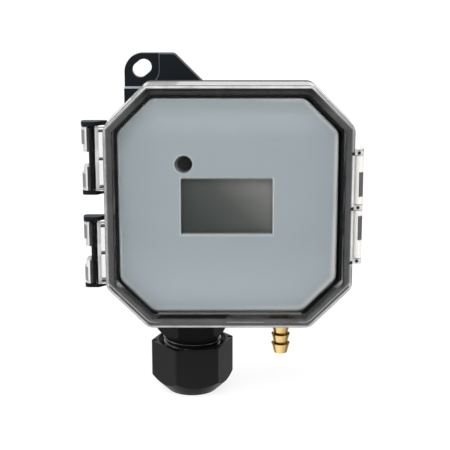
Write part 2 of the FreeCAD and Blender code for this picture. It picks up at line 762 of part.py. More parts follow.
# hooks that snap over the hinge bars, each notched at its middle and ribbed to the wall
for middle in HINGE_MIDDLES:
    root = f"(-{HALF} + Size.lid_wall / 2)"
    lip_x = f"({HINGE_X} + {KNUCKLE_IN} + Size.knuckle_lip)"
    lip_y = f"({HINGE_Y} - {KNUCKLE_IN} + Size.knuckle_throat)"
    bend = f"({KNUCKLE_OUT} - Size.hinge_play)"
    eye = f"({KNUCKLE_IN} - Size.hinge_play / 2)"
    outside = f"({HINGE_X} - 2 * {KNUCKLE_OUT})"
    before = f"({HINGE_Y} - 2 * {KNUCKLE_OUT})"
    behind = f"({HINGE_Y} + 2 * {KNUCKLE_OUT})"
    outline = new_sketch(lid, "XY", f"{middle} - {KNUCKLE_LENGTH} / 2")
    corners = [
        (root, f"({HINGE_Y} - {KNUCKLE_OUT})"),
        (f"({HINGE_X} - {KNUCKLE_OUT})", f"({HINGE_Y} - {KNUCKLE_OUT})", bend),
        (f"({HINGE_X} - {KNUCKLE_OUT})", f"({HINGE_Y} + {KNUCKLE_OUT})", bend),
        (lip_x, f"({HINGE_Y} + {KNUCKLE_OUT})"),
        (lip_x, lip_y),
        (f"({HINGE_X} + {KNUCKLE_IN})", lip_y),
        (f"({HINGE_X} + {KNUCKLE_IN})", f"({HINGE_Y} + {KNUCKLE_IN})"),
        (f"({HINGE_X} - {KNUCKLE_IN})", f"({HINGE_Y} + {KNUCKLE_IN})", eye),
        (f"({HINGE_X} - {KNUCKLE_IN})", f"({HINGE_Y} - {KNUCKLE_IN})", eye),
        (root, f"({HINGE_Y} - {KNUCKLE_IN})"),
    ]
    add_outline(outline, corners)
    add_pad(lid, outline, KNUCKLE_LENGTH)
    for step in (-1, 0, 1):
        outline = new_sketch(lid, "XY", f"{middle} + ({step}) * Size.rib_spacing - Size.rib_thick / 2")
        add_rectangle(outline, f"({HINGE_X} + {KNUCKLE_IN} + Size.rib_gap)", f"(-{HALF})",
                      f"({HINGE_Y} - {KNUCKLE_IN} - Size.rib_depth / 2)",
                      f"({HINGE_Y} - {KNUCKLE_IN} + Size.rib_depth)")
        add_pad(lid, outline, "Size.rib_thick")
    outline = new_sketch(lid, "XY", f"{middle} + Size.knuckle_notch / 2")
    corners = [
        (outside, before),
        (f"({HINGE_X} + {KNUCKLE_IN})", before),
        (f"({HINGE_X} + {KNUCKLE_IN})", HINGE_Y),
        (f"({HINGE_X} + {KNUCKLE_OUT})", HINGE_Y),
        (f"({HINGE_X} + {KNUCKLE_OUT})", behind),
        (outside, behind),
    ]
    add_outline(outline, corners)
    add_pocket(lid, outline, "Size.knuckle_notch")
    outline = new_sketch(lid, "XY", f"{middle} + Size.knuckle_step_length / 2")
    add_rectangle(outline, outside, f"({HINGE_X} - {KNUCKLE_OUT} + Size.knuckle_step)", before, behind)
    add_pocket(lid, outline, "Size.knuckle_step_length")

# ears for the latch
for level in ("-Size.latch_length / 2", "-Size.latch_ear / 2", "Size.latch_length / 2 - Size.latch_ear"):
    outline = new_sketch(lid, "XY", level)
    root = f"({HALF} - Size.lid_wall / 2)"
    side = f"({LATCH_X} + Size.latch_knuckle / 2)"
    front = f"(-{LATCH_PIN} - Size.latch_knuckle / 2)"
    back = f"(-{LATCH_PIN} + Size.latch_knuckle / 2)"
    ear_round = "(Size.latch_knuckle / 2 - Size.latch_play)"
    corners = [(root, back), (root, front), (side, front, ear_round), (side, back, ear_round)]
    add_outline(outline, corners)
    add_pad(lid, outline, "Size.latch_ear")
outline = new_sketch(lid, "XY", "Size.latch_length")
add_circle(outline, LATCH_X, f"(-{LATCH_PIN})", "(Size.latch_pin_width / 2 + Size.press_fit)")
add_pocket(lid, outline)
outline = new_sketch(lid, "XZ", LID_INSIDE)
add_octagon(outline, "Size.lid_wall", "Size.inner_round")
add_pocket(lid, outline, f"{LID_INSIDE} - {LID_BACK}")

gasket = new_body("lid_gasket")
outline = new_sketch(gasket, "XZ", GASKET_LOW)
add_octagon(outline, "Size.gasket_edge", "Size.corner_round")
add_octagon(outline, "(Size.lid_wall - Size.gasket_edge)", "Size.inner_round")
add_pad(gasket, outline, "Size.gasket_thick")


# Latch and its pin

pin = new_body("latch_pin")
outline = new_sketch(pin, "XY", "-Size.latch_length / 2")
add_circle(outline, LATCH_X, f"(-{LATCH_PIN})", "Size.latch_pin_width / 2")
add_pad(pin, outline, "Size.latch_length")

latch = new_body("latch")
outline = new_sketch(latch, "XY", f"-{LATCH_HALF}")
inner = f"({LATCH_X} + Size.latch_step)"
outer = f"({inner} + Size.latch_plate)"
lip_inner = f"({TAB_SIDE} + Size.tab_clearance)"
lip_outer = f"({lip_inner} + Size.latch_plate)"
tail = f"(-{LATCH_PIN} + Size.latch_tail)"
corners = [
    (inner, f"(-{LATCH_PIN})"),
    (outer, f"(-{LATCH_PIN})"),
    (outer, f"({tail} - Size.latch_slope)", "Size.latch_bend"),
    (lip_outer, f"({tail} - Size.latch_lip)", "Size.latch_bend"),
    (lip_outer, tail, "Size.latch_plate / 3"),
    (lip_inner, tail, "Size.latch_plate / 3"),
    (lip_inner, f"({tail} - Size.latch_lip)", "Size.latch_bend"),
    (inner, f"({tail} - Size.latch_slope)", "Size.latch_bend"),
]
add_outline(outline, corners)
add_pad(latch, outline, f"2 * {LATCH_HALF}")
outline = new_sketch(latch, "XY", f"-{LATCH_HALF}")
add_circle(outline, LATCH_X, f"(-{LATCH_PIN})", "Size.latch_knuckle / 2")
add_pad(latch, outline, f"2 * {LATCH_HALF}")
outline = new_sketch(latch, "XY", LATCH_HALF)
add_circle(outline, LATCH_X, f"(-{LATCH_PIN})", "(Size.latch_pin_width / 2 + Size.latch_play)")
add_pocket(latch, outline)
outline = new_sketch(latch, "XY", "Size.latch_ear / 2 + Size.latch_side_play")
add_rectangle(outline, f"({HALF} - Size.lid_wall)", f"({LATCH_X} + Size.latch_knuckle)",
              f"(-{LATCH_PIN} - Size.latch_knuckle)", f"(-{LATCH_PIN} + Size.latch_knuckle)")
add_pocket(latch, outline, "Size.latch_ear + 2 * Size.latch_side_play")
for middle in TAB_MIDDLES:
    outline = new_sketch(latch, "XY", f"{middle} + Size.tab_length / 2 + Size.tab_clearance")
    add_rectangle(outline, f"({HALF} - Size.lid_wall)", f"({TAB_SIDE} + Size.tab_clearance / 2)",
                  f"({TAB_BACK} - Size.tab_height - 2 * Size.tab_clearance)",
                  f"({tail} + Size.latch_lip)")
    add_pocket(latch, outline, "Size.tab_length + 2 * Size.tab_clearance")


# Face plate

def window_rectangle(sketch, width, height, radius=None):
    left = f"(Size.window_x - {width} / 2)"
    right = f"(Size.window_x + {width} / 2)"
    add_rectangle(sketch, left, right, f"(-{height} / 2)", f"({height} / 2)", radius)


def on_plate(body):
    move(body, "Size.plate_x")
    return body


plate = on_plate(new_body("face_plate"))
outline = new_sketch(plate, "XZ", f"{LEDGE} + Size.seat_gap")
add_octagon(outline, "Size.plate_inset", "Size.plate_round")
shell = add_pad(plate, outline, f"{PLATE_TOP} - {LEDGE} - Size.seat_gap")
round_edges(plate, shell, "Size.plate_edge", flat_at(PLATE_TOP))
outline = new_sketch(plate, "XZ", PLATE_BACK)
add_octagon(outline, "(Size.plate_inset + Size.plate_skirt)", "(Size.plate_round - Size.plate_skirt)")
add_pocket(plate, outline)
outline = new_sketch(plate, "XZ", DISPLAY_TOP)
for x, z in DISPLAY_PLACES:
    add_circle(outline, x, z, "Size.display_post_width / 2")
add_pad(plate, outline, f"{PLATE_BACK} - {DISPLAY_TOP} + Size.plate_thick / 2")
outline = new_sketch(plate, "XZ", f"{PLATE_BACK} - Size.screw_room")
for x, z in DISPLAY_PLACES:
    add_circle(outline, x, z, "Size.screw_width / 2")
add_pocket(plate, outline)
outline = new_sketch(plate, "XZ", PLATE_TOP)
window_rectangle(outline, "Size.window_width", "Size.window_height", "Size.window_round")
add_pocket(plate, outline, "Size.plate_thick")
outline = new_sketch(plate, "XZ", PLATE_TOP)
window_rectangle(outline, "(Size.window_width + 2 * Size.window_bevel)",
                 "(Size.window_height + 2 * Size.window_bevel)", "(Size.window_round + Size.window_bevel)")
add_pocket(plate, outline, "Size.window_bevel", "-45")
outline = new_sketch(plate, "XZ", PLATE_TOP)
add_circle(outline, "Size.button_x", "Size.button_z", "(Size.button_width / 2 + Size.button_clearance)")
add_pocket(plate, outline, "Size.plate_thick")


# Push button and its switch

button = on_plate(new_body("push_button"))
outline = new_sketch(button, "XZ", BUTTON_RIM)
add_circle(outline, "Size.button_x", "Size.button_z", "Size.button_width / 2")
cap = add_pad(button, outline, f"{BUTTON_TOP} - {BUTTON_RIM}")
bevel_edges(button, cap, "Size.button_edge", flat_at(BUTTON_TOP))
outline = new_sketch(button, "XZ", f"{BUTTON_RIM} - Size.button_rim_thick")
add_circle(outline, "Size.button_x", "Size.button_z", "(Size.button_width / 2 + Size.button_rim)")
add_pad(button, outline, "Size.button_rim_thick")
outline = new_sketch(button, "XZ", f"{SWITCH_TOP} - Size.stem_sink")
add_circle(outline, "Size.button_x", "Size.button_z", "Size.stem_width / 2")
add_pad(button, outline, f"{BUTTON_RIM} - {SWITCH_TOP} + Size.stem_sink - Size.button_rim_thick / 2")

switch = on_plate(new_body("button_switch"))
outline = new_sketch(switch, "XZ", DISPLAY_TOP)
add_rectangle(outline, "(Size.button_x - Size.switch_width / 2)", "(Size.button_x + Size.switch_width / 2)",
              "(Size.button_z - Size.switch_width / 2)", "(Size.button_z + Size.switch_width / 2)")
add_pad(switch, outline, "Size.switch_height")
outline = new_sketch(switch, "XZ", SWITCH_TOP)
add_circle(outline, "Size.button_x", "Size.button_z", "(Size.stem_width / 2 + Size.stem_play)")
add_pocket(switch, outline, "Size.stem_sink + Size.stem_play + Size.button_travel")


# Display behind the plate

glass = on_plate(new_body("lcd_glass"))
outline = new_sketch(glass, "XZ", GUIDE_TOP)
window_rectangle(outline, "Size.glass_width", "Size.glass_height")
add_pad(glass, outline, "Size.glass_thick")

frame = on_plate(new_body("lcd_frame"))
outline = new_sketch(frame, "XZ", DISPLAY_TOP)
window_rectangle(outline, f"({GAP_WIDTH} + 2 * Size.frame_wall)", f"({GAP_HEIGHT} + 2 * Size.frame_wall)")
window_rectangle(outline, GAP_WIDTH, GAP_HEIGHT)
add_pad(frame, outline, "Size.frame_height")

new_box("lcd_light_guide", f"({GUIDE_X} - Size.glass_width / 2)", f"({GUIDE_X} + Size.glass_width / 2)",
        f"{GUIDE_TOP} - Size.guide_thick", GUIDE_TOP, "(-Size.glass_height / 2)", "(Size.glass_height / 2)")

board = on_plate(new_body("display_board"))
outline = new_sketch(board, "XZ", DISPLAY_BACK)
add_rectangle(outline, "(-Size.display_width / 2)", "(Size.display_width / 2)",
              "(-Size.display_low)", "Size.display_high", "Size.board_round")
for x, z in DISPLAY_PLACES:
    add_circle(outline, x, z, "(Size.screw_width / 2 + Size.screw_slack)")
add_pad(board, outline, "Size.board_thick")

screws = on_plate(new_body("display_screws"))
outline = new_sketch(screws, "XZ", f"{DISPLAY_BACK} - Size.screw_head_thick")
for x, z in DISPLAY_PLACES:
    add_circle(outline, x, z, "Size.screw_head / 2")
add_pad(screws, outline, "Size.screw_head_thick")
outline = new_sketch(screws, "XZ", f"{DISPLAY_BACK} - Size.screw_head_thick / 2")
for x, z in DISPLAY_PLACES:
    add_circle(outline, x, z, "(Size.screw_width / 2 - Size.press_fit)")
add_pad(screws, outline, "Size.screw_length + Size.screw_head_thick / 2")


# Main board and the parts on it

board = new_body("main_board")
outline = new_sketch(board, "XZ", BOARD_BACK)
add_rectangle(outline, f"(-{BOARD_SIDE})", BOARD_SIDE, "(-Size.board_low)", BOARD_HIGH, "Size.board_round")
for x, z in POST_PLACES:
    add_circle(outline, x, z, "(Size.screw_width / 2 + Size.screw_slack)")
add_pad(board, outline, "Size.board_thick")

screws = new_body("board_screws")
outline = new_sketch(screws, "XZ", BOARD_TOP)
for x, z in POST_PLACES:
    add_circle(outline, x, z, "Size.screw_head / 2")
add_pad(screws, outline, "Size.screw_head_thick")
outline = new_sketch(screws, "XZ", f"{BOARD_TOP} - Size.screw_length")
for x, z in POST_PLACES:
    add_circle(outline, x, z, "(Size.screw_width / 2 - Size.press_fit)")
add_pad(screws, outline, "Size.screw_length + Size.screw_head_thick / 2")

terminals = new_body("terminal_block")
outline = new_sketch(terminals, "XZ", BOARD_TOP)
add_rectangle(outline, TERMINAL_LEFT, TERMINAL_RIGHT, TERMINAL_LOW, f"({TERMINAL_LOW} + Size.terminal_depth)")
add_pad(terminals, outline, "Size.terminal_tall")
wells = new_sketch(terminals, "XZ", TERMINAL_FRONT)
mouths = new_sketch(terminals, "XY", TERMINAL_Z)
screws = new_body("terminal_screws")
heads = new_sketch(screws, "XZ", WELL_FLOOR)
slots = new_sketch(screws, "XZ", f"{WELL_FLOOR} + Size.terminal_screw_thick")
for step in range(int(value("Size.terminal_count"))):
    x = f"({TERMINAL_LEFT} + Size.terminal_pitch * {step + 0.5})"
    add_circle(wells, x, TERMINAL_Z, "Size.terminal_well / 2")
    add_rectangle(mouths, f"({x} - Size.terminal_mouth / 2)", f"({x} + Size.terminal_mouth / 2)",
                  f"(-{BOARD_TOP} - Size.terminal_mouth_high)", f"(-{BOARD_TOP} - Size.terminal_mouth_low)")
    add_circle(heads, x, TERMINAL_Z, "Size.terminal_screw / 2")
    add_rectangle(slots, f"({x} - Size.terminal_well / 2)", f"({x} + Size.terminal_well / 2)",
                  f"({TERMINAL_Z} - Size.terminal_slot / 2)", f"({TERMINAL_Z} + Size.terminal_slot / 2)")
add_pocket(terminals, wells, "Size.terminal_well_depth")
add_pocket(terminals, mouths)
add_pad(screws, heads, "Size.terminal_screw_thick")
add_pocket(screws, slots, "Size.terminal_slot_depth")

sensor = new_body("pressure_sensor")
outline = new_sketch(sensor, "XZ", BOARD_TOP)
add_rectangle(outline, f"({PORT_X} - Size.sensor_width / 2)", f"({PORT_X} + Size.sensor_width / 2)",
              SENSOR_LOW, f"({SENSOR_LOW} + Size.sensor_length)", "Size.sensor_round")
add_pad(sensor, outline, "Size.sensor_tall")
for x in NIPPLE_PLACES:
    outline = new_sketch(sensor, "XY", f"{SENSOR_LOW} - Size.nipple_reach")
    add_circle(outline, x, f"(-{SENSOR_HEIGHT})", "Size.nipple_width / 2")
    add_pad(sensor, outline, "Size.nipple_reach + Size.nipple_width / 2")
outline = new_sketch(sensor, "XY", f"{SENSOR_LOW} + Size.sensor_length / 2")
for x in NIPPLE_PLACES:
    add_circle(outline, x, f"(-{SENSOR_HEIGHT})", "Size.nipple_bore / 2")
add_pocket(sensor, outline)

new_box("microcontroller", "(Size.chip_x - Size.chip_width / 2)", "(Size.chip_x + Size.chip_width / 2)",
        BOARD_TOP, f"{BOARD_TOP} + Size.chip_thick",
        "(Size.chip_z - Size.chip_width / 2)", "(Size.chip_z + Size.chip_width / 2)")
new_box("radio_module", RADIO_LEFT, f"({RADIO_LEFT} + Size.radio_width)",
        BOARD_TOP, f"{BOARD_TOP} + Size.radio_thick", f"({RADIO_HIGH} - Size.radio_length)", RADIO_HIGH)
capacitor = new_body("filter_capacitor")
outline = new_sketch(capacitor, "XZ", BOARD_TOP)
add_circle(outline, CAPACITOR_X, TERMINAL_Z, "Size.capacitor_width / 2")
add_pad(capacitor, outline, "Size.capacitor_tall")

new_box("display_ribbon", RIBBON_LEFT, RIBBON_RIGHT, f"{BOARD_TOP} + Size.socket_tall",
        f"{DISPLAY_BACK} - Size.socket_tall", "Size.ribbon_z", RIBBON_FRONT)
sockets = []
for name, low in (("lower_socket", BOARD_TOP), ("upper_socket", f"({DISPLAY_BACK} - Size.socket_tall)")):
    socket = new_box(name, f"({RIBBON_LEFT} - Size.socket_side)", f"({RIBBON_RIGHT} + Size.socket_side)",
                     low, f"{low} + Size.socket_tall",
                     "(Size.ribbon_z - Size.socket_wall)", f"({RIBBON_FRONT} + Size.socket_wall)")
    sockets.append(socket)
join("ribbon_sockets", sockets)


# Hose fittings, seals and nuts

SEAL_FACES = {
    "high": (PORT_FRONT, f"(-{FLANGE_LOW})"),
    "low": (PORT_BACK, f"(-{PORT_LEVEL})"),
}


def fitting(name, height, seal_face):
    """Brass fitting turned about its own axis; level 0 is the outer face of the seal."""
    body = new_body(name)
    start = f"({seal_face} - Size.port_seal_thick)"
    move(body, PORT_X, f"-{height}", start)
    top = f"({PORT_THREAD_END} - {start})"
    bore = "Size.port_bore / 2"
    neck = "Size.barb_neck / 2"
    ridge = "Size.barb_width / 2"
    tip = "(-Size.port_hex_thick - Size.barb_length)"
    corners = [
        (bore, tip),
        (neck, tip),
        (ridge, f"({tip} + Size.barb_pitch)"),
        (neck, f"({tip} + Size.barb_pitch)"),
        (ridge, f"({tip} + 2 * Size.barb_pitch)"),
        (neck, f"({tip} + 2 * Size.barb_pitch)"),
        (ridge, f"({tip} + 3 * Size.barb_pitch)"),
        (neck, f"({tip} + 3 * Size.barb_pitch)"),
        (neck, "(-Size.port_hex_thick / 2)"),
        ("Size.port_thread / 2", "(-Size.port_hex_thick / 2)"),
        ("Size.port_thread / 2", top),
        ("Size.nipple_width / 2", top),
        ("Size.nipple_width / 2", f"({top} + Size.inner_nipple)"),
        ("Size.nipple_bore / 2", f"({top} + Size.inner_nipple)"),
        ("Size.nipple_bore / 2", f"({top} - Size.port_bore_end)"),
        (bore, f"({top} - Size.port_bore_end)"),
    ]
    add_turn(body, corners)
    outline = new_sketch(body, "XY", "-Size.port_hex_thick")
    add_hexagon(outline, "Size.port_hex", turn="30")
    add_circle(outline, "0", "0", "(Size.port_bore + Size.barb_neck) / 4")
    add_pad(body, outline, "Size.port_hex_thick")
    return body


def ring(name, x, height, low, high, outside, inside):
    body = new_body(name)
    outline = new_sketch(body, "XY", low)
    add_circle(outline, x, f"(-{height})", outside)
    add_circle(outline, x, f"(-{height})", inside)
    add_pad(body, outline, f"{high} - ({low})")
    return body


seals, nuts = [], []
for side, (height, face) in SEAL_FACES.items():
    fitting(f"{side}_port_fitting", height, face)
    seals.append(ring(f"{side}_seal", PORT_X, height, f"{face} - Size.port_seal_thick", face,
                      "Size.port_seal_width / 2", "(Size.port_thread / 2 + Size.port_thread_play)"))
    nut = new_body(f"{side}_nut")
    outline = new_sketch(nut, "XY", PORT_NUT_LOW)
    add_hexagon(outline, "Size.port_hex", PORT_X, f"(-{height})")
    add_circle(outline, PORT_X, f"(-{height})", "(Size.port_thread / 2 + Size.press_fit)")
    add_pad(nut, outline, "Size.port_nut_thick")
    nuts.append(nut)
join("port_seals", seals)
join("port_nuts", nuts)


def bent_path(points, radius):
    """Straight runs joined by tangent arcs."""
    edges = []
    start = points[0]
    for before, corner, after in zip(points, points[1:], points[2:]):
        back = (before - corner).normalize()
        ahead = (after - corner).normalize()
        half = back.getAngle(ahead) / 2
        reach = radius / math.tan(half)
        inward = (back + ahead).normalize()
        middle = corner + inward * (radius / math.sin(half) - radius)
        edges.append(Part.LineSegment(start, corner + back * reach).toShape())
        edges.append(Part.Arc(corner + back * reach, middle, corner + ahead * reach).toShape())
        start = corner + ahead * reach
    edges.append(Part.LineSegment(start, points[-1]).toShape())
    return Part.Wire(edges)


def hose(name, height, nipple_x):
    """Soft tube from the inner end of a fitting to a sensor nipple; its path is no plain sketch."""
    x, sensor_x = value(PORT_X), value(nipple_x)
    low = value(f"{PORT_THREAD_END} + Size.tube_gap")
    high = value(f"{SENSOR_LOW} - Size.tube_gap")
    run = value("Size.tube_run")
    points = [
        Vector(x, -value(height), low),
        Vector(x, -value(height), low + run),
        Vector(sensor_x, -value(SENSOR_HEIGHT), high - run),
        Vector(sensor_x, -value(SENSOR_HEIGHT), high),
    ]
    path = bent_path(points, value("Size.tube_bend"))
    inside = value("Size.nipple_width / 2 + Size.tube_play")
    shapes = []
    for radius in (inside + value("Size.tube_wall"), inside):
        mouth = Part.Wire(Part.Circle(points[0], Vector(0, 0, 1), radius).toShape())
        shapes.append(path.makePipeShell([mouth], True, False))
    tube = doc.addObject("Part::Feature", name)
    tube.Label = name
    tube.Shape = shapes[0].cut(shapes[1])
    return tube


hose("high_port_tube", PORT_FRONT, NIPPLE_PLACES[0])
hose("low_port_tube", PORT_BACK, NIPPLE_PLACES[1])


# Cable gland, turned about its own axis; level 0 is the outer face of the boss.

def at_gland(body):
    move(body, GLAND_X, f"-{GLAND_HEIGHT}", f"-{FLANGE_LOW}")
    return body


gland = at_gland(new_body("gland_body"))
corners = [
    ("Size.gland_bore / 2", GLAND_TOP),
    ("Size.gland_bore / 2", SEAL_SEAT),
    (SEAL_SPACE, SEAL_SEAT),
    (SEAL_SPACE, FINGER_END),
    (FINGER_TIP, FINGER_END),
    (f"({SEAL_SPACE} + Size.gland_finger_root)", THREAD_END),
    ("Size.gland_thread_root / 2", THREAD_END),
    ("Size.gland_thread_root / 2", f"({COLLAR_TOP} - Size.gland_collar_length / 2)"),
    ("Size.gland_inner_thread / 2", f"({COLLAR_TOP} - Size.gland_collar_length / 2)"),
    ("Size.gland_inner_thread / 2", GLAND_TOP),
]
add_turn(gland, corners)
outline = new_sketch(gland, "XY", COLLAR_END)
add_hexagon(outline, "Size.gland_collar_flats", turn=GLAND_TURN)
add_circle(outline, "0", "0", "(Size.gland_bore + Size.gland_inner_thread) / 4")
add_pad(gland, outline, "Size.gland_collar_length")
taper = "(Size.gland_collar_flats / 4)"
corners = [
    ("Size.gland_collar_tip / 2", COLLAR_END),
    (f"(Size.gland_collar_tip / 2 + {taper})", COLLAR_END),
    (f"(Size.gland_collar_tip / 2 + {taper})", f"({COLLAR_END} + {taper})"),
]
cut_turn(gland, corners)
outline = new_sketch(gland, "XZ", f"-2 * {SEAL_OUT}")
add_rectangle(outline, "(-Size.gland_finger_slot / 2)", "(Size.gland_finger_slot / 2)",
              f"({FINGER_END} - Size.gland_finger_slot)", f"({THREAD_END} + Size.gland_finger_slot / 2)")
cut = add_pocket(gland, outline)
cut.Reversed = True
fingers = gland.newObject("PartDesign::PolarPattern", "Fingers")
fingers.Originals = [cut]
fingers.Axis = (outline, ["V_Axis"])
fingers.Angle = 180
fingers.setExpression("Occurrences", "Size.gland_finger_count / 2")
gland.Tip = fingers

at_gland(ring("gland_washer", "0", "0", COLLAR_TOP, "0", GLAND_WASHER, GLAND_HOLE))
locknut = at_gland(new_body("gland_locknut"))
outline = new_sketch(locknut, "XY", LOCKNUT_LOW)
add_hexagon(outline, "Size.gland_locknut_flats")
add_circle(outline, "0", "0", "(Size.gland_inner_thread / 2 + Size.press_fit)")
add_pad(locknut, outline, "Size.gland_locknut_thick")

at_gland(ring("gland_seal", "0", "0", SEAL_LOW, SEAL_TOP, SEAL_OUT, "Size.gland_seal_bore / 2"))

nut = at_gland(new_body("gland_nut"))
outline = new_sketch(nut, "XY", DOME_END)
add_hexagon(outline, "Size.gland_nut_flats", turn=GLAND_TURN, radius="Size.gland_nut_round")
add_pad(nut, outline, f"{NUT_START} - {DOME_END}")
corners = [
    (f"(2 * {NUT_CORNER})", DOME_END),
    (f"(2 * {NUT_CORNER})", f"({HEX_END} + {NUT_CORNER})"),
    (NUT_CONE, f"({HEX_END} - ({NUT_CORNER} - {NUT_CONE}))"),
    (NUT_TIP, f"({DOME_END} + Size.gland_nut_lip)"),
    (f"({NUT_TIP} - Size.gland_nut_lip)", DOME_END),
]
cut_turn(nut, corners)
outline = new_sketch(nut, "XY", NUT_START)
for step in range(6):
    angle = f"({60 * step} + Size.gland_nut_turn) * 1deg"
    reach = f"(({NUT_CORNER} + Size.gland_nut_mouth / 2) / 2)"
    add_circle(outline, f"({reach} * cos({angle}))", f"({reach} * sin({angle}))", "Size.gland_nut_pocket / 2")
add_pocket(nut, outline, "Size.gland_nut_hex / 2")
corners = [
    ("0", NUT_START),
    ("Size.gland_nut_mouth / 2", NUT_START),
    ("Size.gland_nut_mouth / 2", f"({NUT_START} - Size.gland_nut_rim)"),
    (NUT_BORE, f"({NUT_START} - Size.gland_nut_rim - Size.gland_nut_funnel)"),
    (NUT_BORE, f"({THREAD_END} - Size.gland_finger_gap)"),
    (f"({FINGER_TIP} + Size.gland_finger_gap)", f"({FINGER_END} - Size.gland_finger_gap)"),
    ("Size.gland_nut_hole / 2", f"({FINGER_END} - 3 * Size.gland_finger_gap)"),
    ("Size.gland_nut_hole / 2", DOME_END),
    ("0", DOME_END),
]
cut_turn(nut, corners)
doc.recompute()


# Export

NODES = [
    "base_housing", "lid", "lid_gasket", "latch_pin", "latch", "face_plate", "push_button", "button_switch",
    "lcd_glass", "lcd_frame", "lcd_light_guide", "display_board", "display_screws", "main_board",
    "board_screws", "terminal_block", "terminal_screws", "pressure_sensor", "microcontroller",
    "radio_module", "filter_capacitor", "display_ribbon", "ribbon_sockets", "high_port_fitting",
    "low_port_fitting", "port_seals", "port_nuts", "high_port_tube", "low_port_tube", "gland_body",
    "gland_washer", "gland_locknut", "gland_seal", "gland_nut",
]
os.makedirs("parts", exist_ok=True)
for part in doc.Objects:
    if "Invalid" in part.State or "Error" in part.State:
        raise RuntimeError(f"{part.Name} ({part.Label}) did not recompute: {part.State}")
for node in NODES:
    part = next(item for item in doc.Objects if item.Label == node)
    if part.Shape.isNull() or not part.Shape.isValid():
        raise RuntimeError(f"{node} has no valid shape")
    part.Shape.exportStep(f"parts/{node}.step")
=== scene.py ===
import math

import bpy
import numpy as np
from bpy.props import FloatProperty, FloatVectorProperty, IntProperty, PointerProperty
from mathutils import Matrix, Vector


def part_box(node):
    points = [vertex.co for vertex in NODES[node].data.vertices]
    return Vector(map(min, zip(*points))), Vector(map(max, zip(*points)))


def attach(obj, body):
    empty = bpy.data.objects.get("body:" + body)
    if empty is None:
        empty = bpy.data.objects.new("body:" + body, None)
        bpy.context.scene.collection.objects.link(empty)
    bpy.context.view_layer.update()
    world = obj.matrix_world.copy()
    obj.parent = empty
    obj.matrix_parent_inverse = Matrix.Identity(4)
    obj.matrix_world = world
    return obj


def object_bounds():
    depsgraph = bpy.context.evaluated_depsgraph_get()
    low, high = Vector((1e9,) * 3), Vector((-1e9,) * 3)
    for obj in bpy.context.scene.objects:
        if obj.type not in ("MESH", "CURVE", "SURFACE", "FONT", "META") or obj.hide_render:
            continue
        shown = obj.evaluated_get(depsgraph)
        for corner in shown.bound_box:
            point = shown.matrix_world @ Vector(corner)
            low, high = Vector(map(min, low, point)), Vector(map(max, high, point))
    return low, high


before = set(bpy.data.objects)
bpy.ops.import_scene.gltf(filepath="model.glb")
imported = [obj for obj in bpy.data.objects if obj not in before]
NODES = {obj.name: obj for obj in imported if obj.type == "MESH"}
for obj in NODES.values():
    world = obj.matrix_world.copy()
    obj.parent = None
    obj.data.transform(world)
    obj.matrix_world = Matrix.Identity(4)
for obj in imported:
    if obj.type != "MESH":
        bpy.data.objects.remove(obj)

CAD_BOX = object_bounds()

bl_info = {
    "name": "Wall pressure transmitter",
    "version": (1, 0, 0),
    "blender": (4, 5, 0),
    "location": "View3D > Sidebar > Transmitter",
    "description": "Dresses a wall pressure transmitter with a clear lid, a cable gland and hose barbs",
    "category": "Object",
}

# Places and lengths are in metres, in the part's own frame: X to the right, Y to the back, Z up.
# A pair holds two limits. Where a change is gradual, it starts at the first and ends at the second.

# Housing: painted highlights along the recess edge in each ear and on the rim's edge below the face plate.
EAR_SIDE = 0.0264
EAR_LEVEL = 0.0372
EAR_ROUND = 0.0068
EAR_LINE_HALF = 0.0002
EAR_LINE_FOOT = 0.0005
EAR_LINE_Y = (-0.0063, -0.0027)
RIM_LINE_X = (-0.0255, 0.0262)
RIM_LINE_Y = (-0.0441, -0.0436)
RIM_LINE_Z = (-0.0398, -0.0394)

# Lid: its eight-sided outline, and its walls with their painted light and shade.
# A depth is measured inwards from the outline.
LID_HALF = 0.044
LID_CORNER = 0.015
LID_FRONT = 0.0012
LOW_SIDE_Z = (-0.0265, -0.029)
HIGH_SIDE_Z = (0.04, 0.0425)
UNDER_TOP_Z = (0.0425, 0.0342)
TOP_SIDE_Z = 0.0436
SIDE_DEPTH = (-0.0003, 0.0009)
SHADE_LINE_DEPTH = (0.0045, 0.0053)
CLEAR_DEPTH = (0.0042, 0.0047)
MOTTLE_PER_METRE = 260.0

# Painted light and shade in the walls of the lid: stops of ramps that reach over the depth on the next line,
# each a position and a level.
PAINTED_LIGHT_DEPTH = 0.005
# Painted highlight on the rounded front edge.
EDGE_HIGHLIGHT_RAMP = [(0.0, 0.15), (0.05, 0.18), (0.09, 0.32), (0.18, 0.3), (0.24, 0.0)]
# Painted shade over the wall.
WALL_SHADE_RAMP = [(0.2, 0.0), (0.25, 0.62), (0.6, 0.62), (0.68, 0.0)]
# Painted shade over the foot of the wall.
FOOT_SHADE_RAMP = [(0.42, 0.0), (0.48, 0.78), (0.64, 0.88), (0.97, 0.92), (1.0, 0.0)]
# Grey of the painted light and shade: pale on the edge, dark over the wall, darkest at its foot.
PAINTED_LIGHT_LEVEL = [(0.0, 0.47), (0.03, 0.5), (0.06, 0.7), (0.2, 0.68),
              (0.25, 0.09), (0.64, 0.075), (0.74, 0.04), (0.79, 0.004)]

# Hooks of the lid's hinge, with the ribs that join them to the wall.
HINGE_X = -0.0488
HINGE_Y = -0.037
HINGE_LEVEL = 0.0173
HINGE_DROP = 0.0007
HINGE_EYE = 0.00145
RIB_SPACING = 0.0101
# Painted shade where the ribs of the hooks meet the wall.
RIB_MARK_HALF = 0.0003
RIB_MARK_X = (-0.0462, -0.0441)
# Limits of the painted pale light on the hooks, of a painted grey strip at their outer side, and of painted
# grey over their web.
HOOK_X = -0.0503
STRIP_X = -0.0511
STRIP_REACH = (0.0053, 0.0105)
WEB_X = (-0.0474, -0.0446)
WEB_BEND_X = (-0.0474, -0.0461)
